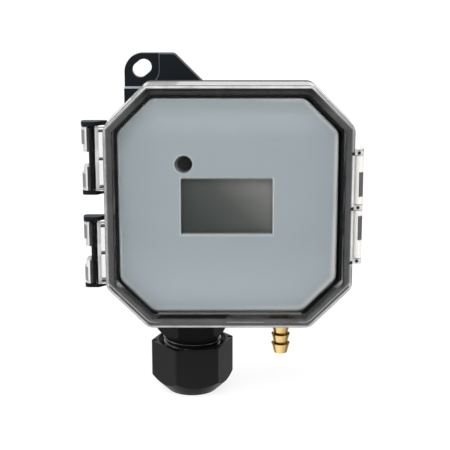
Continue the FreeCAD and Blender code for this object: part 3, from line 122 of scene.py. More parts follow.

# Latch: painted light on the lid's edge beside it, painted shade dots in pairs at each of three levels,
# and painted shade of the catch tabs behind it.
# Painted light on the lid's edge beside the latch.
LATCH_EDGE_X = (0.0431, 0.0475)
LATCH_REACH = 0.0204
# Painted shade dots in pairs on the latch ears.
DOT_X = 0.0457
DOT_Y = (-0.0482, -0.0425)
DOT_SPACING = 0.0197
DOT_RADIUS = 0.0007
DOT_BLUR = 0.0002
LEFT_DOT_LIMIT = 0.0447
LEFT_DOT_STEP = 0.0023
LEFT_DOT_LIFT = 0.0003
LEFT_DOT_GROWTH = 0.0001
TAB_X = (0.0458, 0.05)
TAB_Y = -0.034
TAB_MIDDLE = 0.0004
TAB_REACH = (0.0035, 0.0124)

# Face plate with its window and button, and the painted light and shade on it.
WINDOW_X = -0.0008
WINDOW_WIDTH = 0.0326
WINDOW_HEIGHT = 0.0203
# Painted shade on the lower edge of the window.
SILL_WIDTH = (-0.0003, 0.00003)
BUTTON_X = -0.0161
BUTTON_Z = 0.0153
BUTTON_HOLE = 0.0032
# Reach and run of the painted highlight on the button's left edge.
BUTTON_HIGHLIGHT = (0.0021, 0.00293)
BUTTON_HIGHLIGHT_RUN = 0.002
# Painted highlight along the plate's rim, wider to the right and at the bottom, and round its openings.
PLATE_RIM = 0.001
PLATE_RIM_RIGHT = 0.0009
PLATE_RIM_LOW = 0.0006
PLATE_RIM_RUN = 0.025
PLATE_LINE = 0.0005
PLATE_LINE_DEPTH = 0.0006
# Painted light: the plate paler towards its bottom and its top.
PLATE_LOWER_Z = (-0.012, -0.032)
PLATE_UPPER_Z = (0.024, 0.0373)
# Painted light across the display, from dark at its lower left to pale at its upper right.
DISPLAY_GLOW = [(0.25, 0.0), (0.62, 0.2), (1.0, 1.0)]

# Hose barbs, and the section of the gland's thread: out in heights of the thread, along in pitches.
BARB_PITCH = 0.00365
BARB_RIDGES = 3
BARB_GROOVE = 0.0005
BARB_LIFT = 0.0001
RING_DEPTH = 0.00001
THREAD_SUNK = -0.3
THREAD_OUT = [THREAD_SUNK, 0.0, 0.85, 1.0, 1.0, 0.85, 0.0, THREAD_SUNK]
THREAD_ALONG = [0.46, 0.42, 0.16, 0.08, -0.08, -0.16, -0.42, -0.46]
THREAD_RUN_OUT = 0.02

# Colours of marks, in linear light; most are painted highlights and painted shade.
# Painted highlight along the recess edge of each ear.
EAR_EDGE_HIGHLIGHT = (0.32, 0.33, 0.34, 1.0)
# Painted highlight on the front edge of the housing's rim.
RIM_HIGHLIGHT = (0.4, 0.4, 0.39, 1.0)
# Painted shade of the catch tabs behind the latch.
TAB_SHADOW = (0.11, 0.108, 0.105, 1.0)
# Painted shade of the dark spots on the lid.
SPOT_SHADE = (0.012, 0.012, 0.012, 1.0)
# Painted highlight along the face plate's rim and round its openings.
PLATE_HIGHLIGHT = (0.55, 0.55, 0.53, 1.0)
# Painted shade on the window's lower edge.
SILL_SHADE = (0.02, 0.022, 0.021, 1.0)
# Painted highlight on the button's left edge.
BUTTON_EDGE_HIGHLIGHT = (0.4, 0.4, 0.37, 1.0)
# Painted shade in the grooves of the hose barbs.
GROOVE_SHADE = (0.24, 0.11, 0.012, 1.0)
WHITE = (1.0, 1.0, 1.0, 1.0)

# Stage. The limits of the room's light are parts of a direction of length 1.
IMAGE_PIXELS = 450
CLIP_START = 0.01
FLOOR_REACH = 6.0
FLOOR_GREY = (0.2, 0.2, 0.2)
MIRRORED_Y = -0.97
MIRRORED_Z = -0.24
MIRRORED_SPOT = (0.9, 0.9714)
BELOW_Y = (0.8, 0.3)
BELOW_Z = (-0.25, -0.4167)
CARD_Y = (0.25, -0.0833)
CARD_Z = (-1.1, -0.9333)


def colour(name, description, default):
    """A colour that a user may change, in linear light."""
    return FloatVectorProperty(name=name, description=description, subtype="COLOR", size=3,
                               min=0.0, max=1.0, default=default)


def length(name, description, default):
    """A length that a user may change, in metres."""
    return FloatProperty(name=name, description=description, default=default,
                         subtype="DISTANCE", unit="LENGTH", precision=5)


class TransmitterColours(bpy.types.PropertyGroup):
    """Colours of the finishes."""

    housing: colour("Housing", "Black moulded box and its ears", (0.0065, 0.0088, 0.011))
    plate: colour("Face plate", "Grey satin face plate", (0.266, 0.304, 0.323))
    clear: colour("Clear plastic", "Tint of the lid", (0.965, 0.972, 0.968))
    latch: colour("Latch plastic", "Warmer tint of the latch", (0.93, 0.91, 0.87))
    gasket: colour("Gasket", "Soft foam gasket", (0.04, 0.04, 0.042))
    # The display's two colours are the ends of the painted light across it.
    display_dark: colour("Display, dark", "Lower left of the switched off display", (0.038, 0.044, 0.0415))
    display_pale: colour("Display, pale", "Upper right of the switched off display", (0.165, 0.165, 0.158))
    display_frame: colour("Display frame", "Black frame round the display", (0.02, 0.02, 0.02))
    light_guide: colour("Light guide", "White plastic behind the display", (0.75, 0.77, 0.75))
    button: colour("Button", "Cap of the push button", (0.006, 0.0055, 0.0045))
    board: colour("Board", "Solder mask of the boards", (0.02, 0.13, 0.05))
    steel: colour("Steel", "Screws", (0.6, 0.6, 0.58))
    can: colour("Metal cans", "Radio module and capacitor", (0.72, 0.73, 0.74))
    terminal: colour("Terminals", "Plastic of the wire terminals", (0.04, 0.26, 0.1))
    sensor: colour("Sensor", "Plastic of the pressure sensor", (0.66, 0.65, 0.6))
    chip: colour("Chips", "Resin of the chips, the switch and the sockets", (0.015, 0.015, 0.016))
    ribbon: colour("Ribbon", "Ribbon between the boards", (0.7, 0.7, 0.68))
    brass: colour("Brass", "Turned brass fittings", (0.86, 0.62, 0.25))
    seal: colour("Seals", "Black rubber seals", (0.012, 0.012, 0.012))
    hose: colour("Inner hoses", "Silicone hoses to the sensor", (0.62, 0.6, 0.55))
    gland: colour("Gland nut", "Black moulded nylon", (0.0095, 0.009, 0.0095))
    gland_body: colour("Gland body", "Darker nylon of the body and its thread", (0.006, 0.006, 0.0065))


class TransmitterThread(bpy.types.PropertyGroup):
    """Sizes of the screw thread on the cable gland."""

    pitch: length("Pitch", "Step of the thread for one turn", 0.0018)
    root: length("Root radius", "Radius at the bottom of the thread", 0.0103)
    crest: length("Crest radius", "Radius at the top of the thread", 0.01112)
    start: length("Start", "Level at which the thread starts, under the collar", -0.0555)
    end: length("End", "Level at which the thread ends, inside the nut", -0.0655)
    steps: IntProperty(name="Steps per turn", description="Divisions of one turn", default=72, min=12)


class TransmitterStudio(bpy.types.PropertyGroup):
    """Camera and light."""

    distance: length("Camera distance", "From the camera to the middle of the face plate", 0.43)
    elevation: FloatProperty(name="Camera elevation", description="Angle above the horizon",
                             subtype="ANGLE", default=math.radians(13.6))
    focal_pixels: FloatProperty(name="Focal length in pixels", description="Focal length of the photograph",
                                default=1209.0)
    offset_x: FloatProperty(name="Offset right", description="Plate middle, right of the picture's middle",
                            subtype="PIXEL", default=4.0)
    offset_y: FloatProperty(name="Offset up", description="Plate middle, above the picture's middle",
                            subtype="PIXEL", default=18.4)
    key_power: FloatProperty(name="Key light", description="Power of the large lamp above",
                             unit="POWER", default=11.0)
    side_power: FloatProperty(name="Side light", description="Power of each side lamp",
                              unit="POWER", default=3.0)
    room: FloatProperty(name="Room light", description="Strength of the light of the room", default=1.15)


class Shade:
    """One output socket of a material; sums and products of such sockets add the nodes that they need."""

    def __init__(self, tree, socket=None):
        self.tree = tree
        self.socket = socket

    def node(self, kind, settings=None, inputs=None, output=0):
        """Adds a node: first its settings, then the values or links of its sockets."""
        made = self.tree.nodes.new(kind)
        for name, setting in (settings or {}).items():
            if name == "stops":
                set_stops(made.color_ramp, setting)
            else:
                setattr(made, name, setting)
        for name, given in (inputs or {}).items():
            if isinstance(given, Shade):
                self.tree.links.new(given.socket, made.inputs[name])
            else:
                made.inputs[name].default_value = given
        return Shade(self.tree, made.outputs[output] if made.outputs else None)

    def math(self, operation, first, second=0.0):
        return self.node("ShaderNodeMath", {"operation": operation}, {0: first, 1: second})

    def __add__(self, other):
        return self.math("ADD", self, other)

    def __radd__(self, other):
        return self.math("ADD", other, self)

    def __sub__(self, other):
        return self.math("SUBTRACT", self, other)

    def __rsub__(self, other):
        return self.math("SUBTRACT", other, self)

    def __mul__(self, other):
        return self.math("MULTIPLY", self, other)

    def __rmul__(self, other):
        return self.math("MULTIPLY", other, self)


def set_stops(color_ramp, stops):
    """Places the stops of a colour ramp, each a position and a grey level."""
    while len(color_ramp.elements) < len(stops):
        color_ramp.elements.new(1.0)
    for element, (position, level) in zip(color_ramp.elements, stops):
        element.position = position
        element.color = (level, level, level, 1.0)


def new_finish(name):
    """A material with an empty node tree, and the start of its expressions."""
    material = bpy.data.materials.new(name)
    material.use_nodes = True
    material.node_tree.nodes.clear()
    return material, Shade(material.node_tree)


def principled(shade, **sockets):
    """A principled shader; an underscore in a keyword stands for a space in the socket's name."""
    names = {key.replace("_", " "): given for key, given in sockets.items()}
    return shade.node("ShaderNodeBsdfPrincipled", {}, names)


def close_finish(shade, surface):
    """Ends a material in a surface."""
    shade.node("ShaderNodeOutputMaterial", {}, {"Surface": surface})


def place_on_part(shade):
    return shade.node("ShaderNodeTexCoord", {}, {}, "Object")


def axis(shade, name):
    """One coordinate of the part's own frame, in metres."""
    return shade.node("ShaderNodeSeparateXYZ", {}, {"Vector": place_on_part(shade)}, name)


def noise(shade, per_metre, detail=3.0):
    """Cloudy pattern from 0 to 1, with that many cells to a metre."""
    sockets = {"Vector": place_on_part(shade), "Scale": per_metre, "Detail": detail, "Roughness": 0.55}
    return shade.node("ShaderNodeTexNoise", {}, sockets)


def uneven(shade, low, high, per_metre):
    """A value that drifts between two limits over the surface."""
    return low + (high - low) * noise(shade, per_metre)


def ramp(shade, stops, position):
    return shade.node("ShaderNodeValToRGB", {"stops": stops}, {"Fac": position})


def mix(shade, factor, first, second):
    """Colour between two colours."""
    return shade.node("ShaderNodeMix", {"data_type": "RGBA"}, {0: factor, 6: first, 7: second}, 2)


def bump(shade, height, depth, strength):
    return shade.node("ShaderNodeBump", {}, {"Height": height, "Distance": depth, "Strength": strength})


def grain(shade, per_metre, depth):
    """Fine grain of a mould, as a bump."""
    return bump(shade, noise(shade, per_metre, detail=2.0), depth, 0.5)


def tinted(base, factor=1.0):
    """A colour made paler or darker."""
    return (*(min(1.0, level * factor) for level in base), 1.0)


def clouded(shade, base, spread, per_metre=60.0):
    """A colour that drifts a little lighter and darker over the surface."""
    return mix(shade, noise(shade, per_metre), tinted(base, 1 - spread), tinted(base, 1 + spread))


def size_of(shade, value):
    return shade.math("ABSOLUTE", value)


def larger(shade, first, second):
    return shade.math("MAXIMUM", first, second)


def smaller(shade, first, second):
    return shade.math("MINIMUM", first, second)


def under(shade, value, limit):
    """1 where a value is less than a limit, else 0."""
    return shade.math("LESS_THAN", value, limit)


def between(shade, value, low, high):
    """1 where a value lies between two limits, else 0."""
    return shade.math("GREATER_THAN", value, low) * under(shade, value, high)


def held(shade, value):
    """A value held between 0 and 1."""
    return shade.node("ShaderNodeClamp", {}, {"Value": value})


def slope(shade, value, start, end):
    """0 up to the start of a run, 1 from its end on, and even in between."""
    return held(shade, (value - start) * (1.0 / (end - start)))


def distance(shade, first, second):
    """Length of a flat step with those two sides."""
    return shade.math("SQRT", first * first + second * second)


def inwards(shade, centre=0.0):
    """Distance from the eight-sided outline of the lid towards its middle."""
    across = size_of(shade, axis(shade, "X") - centre)
    up = size_of(shade, axis(shade, "Z"))
    slant = LID_HALF - (2 * LID_HALF - LID_CORNER - across - up) * math.sqrt(0.5)
    return LID_HALF - larger(shade, larger(shade, across, up), slant)


def moulded(name, base, roughness, grain_per_metre=2000.0, grain_depth=0.00002, spread=0.12, gloss=0.5):
    """Moulded plastic: slightly clouded, with a fine spark-eroded grain."""
    material, shade = new_finish(name)
    close_finish(shade, principled(
        shade,
        Base_Color=clouded(shade, base, spread),
        Roughness=uneven(shade, roughness - 0.06, roughness + 0.06, 220.0),
        Normal=grain(shade, grain_per_metre, grain_depth),
        Specular_IOR_Level=gloss,
    ))
    return material


def ear_highlight(shade):
    """Share of painted highlight on each ear's recess edge: two straight sides with a round between them."""
    side = shade.math("SIGN", axis(shade, "Z")) * axis(shade, "X") * -1.0
    up = size_of(shade, axis(shade, "Z"))
    from_side = larger(shade, EAR_ROUND - (side - EAR_SIDE), 0.0)
    from_level = larger(shade, EAR_ROUND - (up - EAR_LEVEL), 0.0)
    off_line = size_of(shade, EAR_ROUND - distance(shade, from_side, from_level))
    foot = under(shade, up, EAR_LEVEL + EAR_LINE_FOOT)
    line = under(shade, off_line, EAR_LINE_HALF) * (0.3 + 0.7 * foot)
    return line * between(shade, axis(shade, "Y"), *EAR_LINE_Y)


def rim_highlight(shade):
    """1 on the painted highlight along the front edge of the housing's rim below the face plate, else 0."""
    across = between(shade, axis(shade, "X"), *RIM_LINE_X)
    deep = between(shade, axis(shade, "Y"), *RIM_LINE_Y)
    return across * deep * between(shade, axis(shade, "Z"), *RIM_LINE_Z)


def housing_plastic(name, base):
    """Black moulded plastic; painted highlights on the ear recess edges and the rim below the face plate."""
    material, shade = new_finish(name)
    # Painted highlight along the recess edge of each ear.
    skin = mix(shade, ear_highlight(shade), clouded(shade, base, 0.12), EAR_EDGE_HIGHLIGHT)
    close_finish(shade, principled(
        shade,
        # Painted highlight on the front edge of the rim below the face plate.
        Base_Color=mix(shade, 0.9 * rim_highlight(shade), skin, RIM_HIGHLIGHT),
        Roughness=uneven(shade, 0.39, 0.51, 220.0),
        Normal=grain(shade, 2400.0, 0.00003),
        Specular_IOR_Level=0.09,
    ))
    return material


def latch_plastic(name, tint):
    """Milky plastic, with two grey fields of painted shade where the catch tabs stand behind it."""
    material, shade = new_finish(name)
    # Painted shade of the catch tabs behind the latch: two grey fields on its front.
    tabs = between(shade, size_of(shade, axis(shade, "Z") - TAB_MIDDLE), *TAB_REACH)
    tabs = tabs * between(shade, axis(shade, "X"), *TAB_X) * under(shade, axis(shade, "Y"), TAB_Y)
    close_finish(shade, principled(
        shade,
        Base_Color=mix(shade, tabs, clouded(shade, tint, 0.02, 90.0), TAB_SHADOW),
        Roughness=uneven(shade, 0.16, 0.19, 140.0),
        IOR=1.49,
        Transmission_Weight=0.35,
    ))
    return material


def wall_painted_light(shade, front, inside):
    """Share of painted light and shade in the lid's walls.

    On the front it follows the distance from the outline: first a painted highlight on the rounded edge, then
    painted shade over the wall, and at the bottom also over the foot of the wall with a darker painted line
    of shade. The outer sides of the walls get painted pale light, more of it at the top.
    """
    up = axis(shade, "Z")
    low_side = slope(shade, up, *LOW_SIDE_Z)
    high_side = slope(shade, up, *HIGH_SIDE_Z)
    under_top = 0.2 + 0.8 * slope(shade, up, *UNDER_TOP_Z)
    position = inside * (1.0 / PAINTED_LIGHT_DEPTH)
    edge, wall, foot = (ramp(shade, stops, position) for stops in (EDGE_HIGHLIGHT_RAMP, WALL_SHADE_RAMP, FOOT_SHADE_RAMP))
    # Painted highlight on the rounded edge, stronger near the bottom and the top.
    edge = edge * (1.0 + 0.6 * low_side + 0.5 * high_side)
    # Painted shade over the foot of the wall, with a darker painted line of shade.
    foot = low_side * larger(shade, foot, 0.9 * between(shade, inside, *SHADE_LINE_DEPTH))
    # Painted pale light on the outer sides of the walls, more of it at the top.
    painted_side_light = 0.4 + 0.12 * shade.math("GREATER_THAN", up, TOP_SIDE_Z)
    painted_side_light = painted_side_light * between(shade, inside, *SIDE_DEPTH) * (1.0 - front)
    return larger(shade, front * larger(shade, edge + under_top * wall, foot), painted_side_light)


def hook_reach(shade):
    """Distance up or down from the middle of the nearer hinge hook."""
    return size_of(shade, size_of(shade, axis(shade, "Z") + HINGE_DROP) - HINGE_LEVEL)


def painted_shade_spots(shade):
    """Strength of the painted dark spots of shade on the lid, from 0 to 1.

    They stand where the ribs of the hinge hooks meet the wall, in the eyes of the hooks, and in pairs
    on the ears that carry the latch.
    """
    across = axis(shade, "X")
    back = axis(shade, "Y")
    reach = hook_reach(shade)
    rib = smaller(shade, reach, size_of(shade, reach - RIB_SPACING))
    ribs = under(shade, rib, RIB_MARK_HALF) * between(shade, across, *RIB_MARK_X)
    eyes = under(shade, distance(shade, across - HINGE_X, back - HINGE_Y), HINGE_EYE)
    left = under(shade, across, LEFT_DOT_LIMIT)
    up = size_of(shade, axis(shade, "Z") - LEFT_DOT_LIFT * left)
    row = smaller(shade, up, size_of(shade, up - DOT_SPACING))
    column = across - DOT_X + LEFT_DOT_STEP * left
    radius = DOT_RADIUS + LEFT_DOT_GROWTH * left
    dots = held(shade, (radius - distance(shade, row, column)) * (1.0 / DOT_BLUR))
    dots = dots * between(shade, back, *DOT_Y)
    return larger(shade, larger(shade, ribs, eyes), dots)


def lid_plastic(name, tint):
    """Clear plastic with painted light and shade in its walls, painted pale light on the hinge hooks
    and painted light on the edge beside the latch.

    The painted grey is a pale highlight on the rounded front edge, and dark mottled shade over the wall.
    Inwards of the wall the plastic lets most light straight through.
    """
    material, shade = new_finish(name)
    across = axis(shade, "X")
    front = under(shade, axis(shade, "Y"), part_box("lid")[0][1] + LID_FRONT)
    inside = inwards(shade)
    # Painted light on the lid's edge beside the latch.
    near_latch = under(shade, size_of(shade, axis(shade, "Z")), LATCH_REACH)
    beside = near_latch * between(shade, across, *LATCH_EDGE_X)
    # Painted pale light on the hinge hooks, a painted grey strip at their outer side, painted grey over their
    # web.
    hook = under(shade, across, HOOK_X)
    strip = under(shade, across, STRIP_X) * between(shade, hook_reach(shade), *STRIP_REACH)
    web = 0.12 * between(shade, across, *WEB_X) + 0.3 * between(shade, across, *WEB_BEND_X)
    # Share of painted light on the hooks and beside the latch.
    painted_fitting_light = 0.7 * beside + 0.6 * hook + 0.3 * strip + web
    painted_light = larger(shade, wall_painted_light(shade, front, inside), painted_fitting_light)
    # Grey of the painted light and shade, mottled on the front.
    mottle = 1.0 + front * uneven(shade, -0.4, 0.4, MOTTLE_PER_METRE)
    level = ramp(shade, PAINTED_LIGHT_LEVEL, inside * (1.0 / PAINTED_LIGHT_DEPTH)) * mottle * (1.0 - 0.7 * strip)
    pale = uneven(shade, 0.4, 0.8, MOTTLE_PER_METRE) * beside + hook * (0.55 - 0.45 * strip)
    # Painted dark spots of shade: at the ribs, in the hook eyes and in pairs on the latch ears.
    marks = painted_shade_spots(shade)
    clear = principled(
        shade,
        Base_Color=clouded(shade, tint, 0.01, 90.0),
        Roughness=uneven(shade, 0.015, 0.035, 140.0),
        IOR=1.49,
        Transmission_Weight=1.0,
        Alpha=1.0 - 0.7 * slope(shade, inside, *CLEAR_DEPTH),
    )
    grey = principled(
        shade,
        Base_Color=mix(shade, marks, larger(shade, level, pale), SPOT_SHADE),
        Roughness=0.4,
        Specular_IOR_Level=0.1,
    )
    share = larger(shade, painted_light, 0.95 * marks)
    close_finish(shade, shade.node("ShaderNodeMixShader", {}, {0: share, 1: clear, 2: grey}))
    return material


def plate_plastic(name, base):
    """Grey satin plastic with painted light: paler towards its top and bottom, with a painted highlight along
    its rim and round its openings.

    Painted shade darkens the lower edge of the window.
    """
    material, shade = new_finish(name)
    low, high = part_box("face_plate")
    across = axis(shade, "X")
    up = axis(shade, "Z")
    # Width of the painted highlight along the rim.
    width = PLATE_RIM + PLATE_RIM_RIGHT * slope(shade, across, 0.0, PLATE_RIM_RUN)
    width = width + PLATE_RIM_LOW * slope(shade, up, 0.0, -PLATE_RIM_RUN)
    from_rim = inwards(shade, (low[0] + high[0]) / 2) - (LID_HALF - high[2])
    rim = held(shade, 2.0 - 2.0 * shade.math("DIVIDE", from_rim, width))
    # Painted highlight round the window and the button hole.
    window = larger(shade, size_of(shade, across - WINDOW_X) - WINDOW_WIDTH / 2,
                    size_of(shade, up) - WINDOW_HEIGHT / 2)
    hole = distance(shade, across - BUTTON_X, up - BUTTON_Z) - BUTTON_HOLE
    line = larger(shade, 0.45 * between(shade, window, 0.0, PLATE_LINE),
                  0.3 * between(shade, hole, 0.0, PLATE_LINE))
    line = larger(shade, line, 0.75 * rim) * under(shade, axis(shade, "Y"), low[1] + PLATE_LINE_DEPTH)
    # Painted shade along the lower edge of the window.
    sill = between(shade, window, *SILL_WIDTH) * under(shade, up, 0.0)
    satin = clouded(shade, base, 0.025)
    # Painted light, paler towards the bottom and the top, then the painted highlights.
    satin = mix(shade, slope(shade, up, *PLATE_LOWER_Z), satin, tinted(base, 1.16))
    satin = mix(shade, slope(shade, up, *PLATE_UPPER_Z), satin, tinted(base, 1.3))
    satin = mix(shade, line, satin, PLATE_HIGHLIGHT)
    close_finish(shade, principled(
        shade,
        Base_Color=mix(shade, 0.95 * sill, satin, SILL_SHADE),
        Roughness=uneven(shade, 0.4, 0.52, 220.0),
        Normal=grain(shade, 3200.0, 0.00002),
    ))
    return material


def button_plastic(name, base):
    """Dark push button with a painted highlight on its left edge."""
    material, shade = new_finish(name)
    across = axis(shade, "X")
    reach = distance(shade, across - BUTTON_X, axis(shade, "Z") - BUTTON_Z)
    # Painted highlight on the left edge of the cap.
    edge_glint = slope(shade, across, BUTTON_X, BUTTON_X - BUTTON_HIGHLIGHT_RUN) * slope(shade, reach, *BUTTON_HIGHLIGHT)
    close_finish(shade, principled(
        shade,
        Base_Color=mix(shade, 0.9 * edge_glint, clouded(shade, base, 0.12, 300.0), BUTTON_EDGE_HIGHLIGHT),
        Roughness=uneven(shade, 0.3, 0.4, 400.0),
        Specular_IOR_Level=0.3,
    ))
    return material


def metal(name, base, roughness, ring_per_metre, barb_tip=None):
    """Turned metal with fine tool rings along Z; painted shade darkens the grooves over the ridges of a barb.
    """
    material, shade = new_finish(name)
    rings = shade.node("ShaderNodeTexWave", {"wave_type": "BANDS", "bands_direction": "Z"},
                       {"Vector": place_on_part(shade), "Scale": ring_per_metre, "Distortion": 1.5,
                        "Detail": 2.0}, "Fac")
    skin = clouded(shade, base, 0.08, 180.0)
    if barb_tip is not None:
        # Painted shade in the grooves over the barb's ridges.
        ridge = (axis(shade, "Z") - (barb_tip - BARB_LIFT)) * (1.0 / BARB_PITCH)
        groove = under(shade, shade.math("FRACT", ridge), BARB_GROOVE / BARB_PITCH)
        groove = groove * between(shade, ridge, 0.5, BARB_RIDGES + 0.5)
        skin = mix(shade, 0.92 * groove, skin, GROOVE_SHADE)
    close_finish(shade, principled(
        shade,
        Base_Color=skin,
        Metallic=1.0,
        Roughness=uneven(shade, roughness - 0.05, roughness + 0.05, 400.0),
        Normal=bump(shade, rings, RING_DEPTH, 0.4),
    ))
    return material


def rubber(name, base):
    """Soft seal: dull, with a fine powdery bloom."""
    material, shade = new_finish(name)
    close_finish(shade, principled(
        shade,
        Base_Color=clouded(shade, base, 0.2, 300.0),
        Roughness=uneven(shade, 0.72, 0.87, 700.0),
        Normal=bump(shade, noise(shade, 2600.0), 0.00004, 0.6),
    ))
    return material


def display_film(name, dark, pale):
    """Switched off display: soft diagonal painted light under a finely uneven satin film."""
    material, shade = new_finish(name)
    low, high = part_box("lcd_glass")
    across = (axis(shade, "X") - low[0]) * (1.0 / (high[0] - low[0]))
    up = (axis(shade, "Z") - low[2]) * (1.0 / (high[2] - low[2]))
    # Painted light, paler towards the upper right.
    glow = ramp(shade, DISPLAY_GLOW, 0.75 * across + 0.45 * up)
    close_finish(shade, principled(
        shade,
        Base_Color=mix(shade, glow, tinted(dark), tinted(pale)),
        Roughness=uneven(shade, 0.28, 0.33, 900.0),
        Coat_Weight=0.3,
        Normal=bump(shade, noise(shade, 5200.0), 0.00001, 0.3),
    ))
    return material


def solder_mask(name, base):
    """Board: green mask over faint copper tracks."""
    material, shade = new_finish(name)
    tracks = shade.node("ShaderNodeTexBrick", {"offset": 0.5},
                        {"Vector": place_on_part(shade), "Scale": 120.0, "Mortar Size": 0.03,
                         "Color1": (0, 0, 0, 1), "Color2": (0.2, 0.2, 0.2, 1), "Mortar": WHITE})
    pale = tinted([level * 1.9 + 0.01 for level in base])
    close_finish(shade, principled(
        shade,
        Base_Color=mix(shade, tracks, tinted(base), pale),
        Roughness=uneven(shade, 0.35, 0.45, 300.0),
        Normal=bump(shade, tracks, 0.00003, 0.6),
    ))
    return material


def paint(material, *nodes):
    """Gives CAD pieces a finish."""
    for node in nodes:
        for slot in NODES[node].material_slots:
            slot.material = material


def grid_faces(rows, columns):
    """Quads of a grid that closes on itself across its columns."""
    row, column = np.meshgrid(np.arange(rows - 1), np.arange(columns), indexing="ij")
    following = (column + 1) % columns
    corners = [row * columns + column, row * columns + following,
               (row + 1) * columns + following, (row + 1) * columns + column]
    return np.stack(corners, axis=-1).reshape(-1, 4)


def new_piece(name, points, body, material):
    """A closed tube from a grid of points, rows along it and columns round it, capped at both ends."""
    rows, columns = points.shape[:2]
    faces = grid_faces(rows, columns).tolist()
    faces.append(list(range(columns))[::-1])
    faces.append(list(range((rows - 1) * columns, rows * columns)))
    mesh = bpy.data.meshes.new(name)
    mesh.from_pydata(points.reshape(-1, 3).tolist(), [], faces)
    mesh.update()
    mesh.materials.append(material)
    mesh.polygons.foreach_set("use_smooth", np.ones(len(mesh.polygons), dtype=bool))
    piece = bpy.data.objects.new(name, mesh)
    bpy.context.scene.collection.objects.link(piece)
    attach(piece, body)
    return piece


def thread_points(thread, centre_x, centre_y):
    """Screw thread: a blunt triangle carried along a helix.

    Along the helix the angle grows evenly and the level falls by one pitch a turn. Across it the
    section has its foot inside the root cylinder and its tip at the crest. The section shrinks to
    nearly nothing over the first and the last half turn, so that the ridge runs out as a cut thread does.
    """
    turns = (thread.start - thread.end) / thread.pitch
    angle = np.linspace(0.0, 2 * math.pi * turns, int(turns * thread.steps))
    height = thread.crest - thread.root
    out = np.array(THREAD_OUT) * height
    along = np.array(THREAD_ALONG) * thread.pitch
    fade = np.clip(np.minimum(angle, angle[-1] - angle) / math.pi, THREAD_RUN_OUT, 1.0)
    sunk = THREAD_SUNK * height
    radius = thread.root + sunk + fade[:, None] * (out - sunk)[None, :]
    level = thread.start - thread.pitch * angle[:, None] / (2 * math.pi) + fade[:, None] * along[None, :]
    x = centre_x + radius * np.cos(angle)[:, None]
    y = centre_y + radius * np.sin(angle)[:, None]
    return np.stack([x, y, level], axis=-1)


class DressHousing(bpy.types.Operator):
    """Black box with its ears, hinge lugs and catch tabs"""

    bl_idname = "transmitter.dress_housing"
    bl_label = "Dress the housing"

    def execute(self, context):
        paint(housing_plastic("housing_plastic", context.scene.transmitter_colours.housing), "base_housing")
        return {"FINISHED"}


class DressLid(bpy.types.Operator):
    """Clear lid and latch, with the pin and the gasket"""

    bl_idname = "transmitter.dress_lid"
    bl_label = "Dress the lid"

    def execute(self, context):
        colours = context.scene.transmitter_colours
        paint(lid_plastic("clear_lid_plastic", colours.clear), "lid")
        paint(latch_plastic("latch_plastic", colours.latch), "latch", "latch_pin")
        paint(rubber("gasket_foam", colours.gasket), "lid_gasket")
        return {"FINISHED"}


class DressFace(bpy.types.Operator):
    """Grey face plate with its button and display"""

    bl_idname = "transmitter.dress_face"
    bl_label = "Dress the face"

    def execute(self, context):
        colours = context.scene.transmitter_colours
        paint(plate_plastic("plate_plastic", colours.plate), "face_plate")
        paint(button_plastic("button_plastic", colours.button), "push_button")
        paint(display_film("display_film", colours.display_dark, colours.display_pale), "lcd_glass")
        paint(moulded("frame_plastic", colours.display_frame, roughness=0.5), "lcd_frame")
        guide = moulded("guide_plastic", colours.light_guide, roughness=0.3,
                        grain_per_metre=1500.0, grain_depth=0.00001, spread=0.03)
        paint(guide, "lcd_light_guide")
        return {"FINISHED"}


class DressBoards(bpy.types.Operator):
    """Boards and what they carry"""

    bl_idname = "transmitter.dress_boards"
    bl_label = "Dress the boards"

    def execute(self, context):
        colours = context.scene.transmitter_colours
        paint(solder_mask("board_mask", colours.board), "main_board", "display_board")
        steel = metal("screw_steel", colours.steel, roughness=0.3, ring_per_metre=1200.0)
        paint(steel, "display_screws", "board_screws", "terminal_screws")
        can = metal("can_metal", colours.can, roughness=0.28, ring_per_metre=700.0)
        paint(can, "radio_module", "filter_capacitor")
        paint(moulded("terminal_plastic", colours.terminal, roughness=0.42), "terminal_block")
        paint(moulded("sensor_plastic", colours.sensor, roughness=0.45, spread=0.04), "pressure_sensor")
        resin = moulded("chip_resin", colours.chip, roughness=0.5, grain_per_metre=3000.0)
        paint(resin, "button_switch", "microcontroller", "ribbon_sockets")
        ribbon = moulded("ribbon_plastic", colours.ribbon, roughness=0.4,
                         grain_per_metre=1500.0, grain_depth=0.00001, spread=0.04)
        paint(ribbon, "display_ribbon")
        return {"FINISHED"}


class DressPorts(bpy.types.Operator):
    """Brass hose barbs with their seals, nuts and inner hoses"""

    bl_idname = "transmitter.dress_ports"
    bl_label = "Dress the ports"

    def execute(self, context):
        colours = context.scene.transmitter_colours
        for port in ("high_port", "low_port"):
            barb_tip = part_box(port + "_fitting")[0][2]
            brass = metal(port + "_brass", colours.brass, roughness=0.26,
                          ring_per_metre=1500.0, barb_tip=barb_tip)
            paint(brass, port + "_fitting")
        paint(metal("nut_brass", colours.brass, roughness=0.3, ring_per_metre=1500.0), "port_nuts")
        paint(rubber("seal_rubber", colours.seal), "port_seals")
        paint(rubber("hose_silicone", colours.hose), "high_port_tube", "low_port_tube")
        return {"FINISHED"}


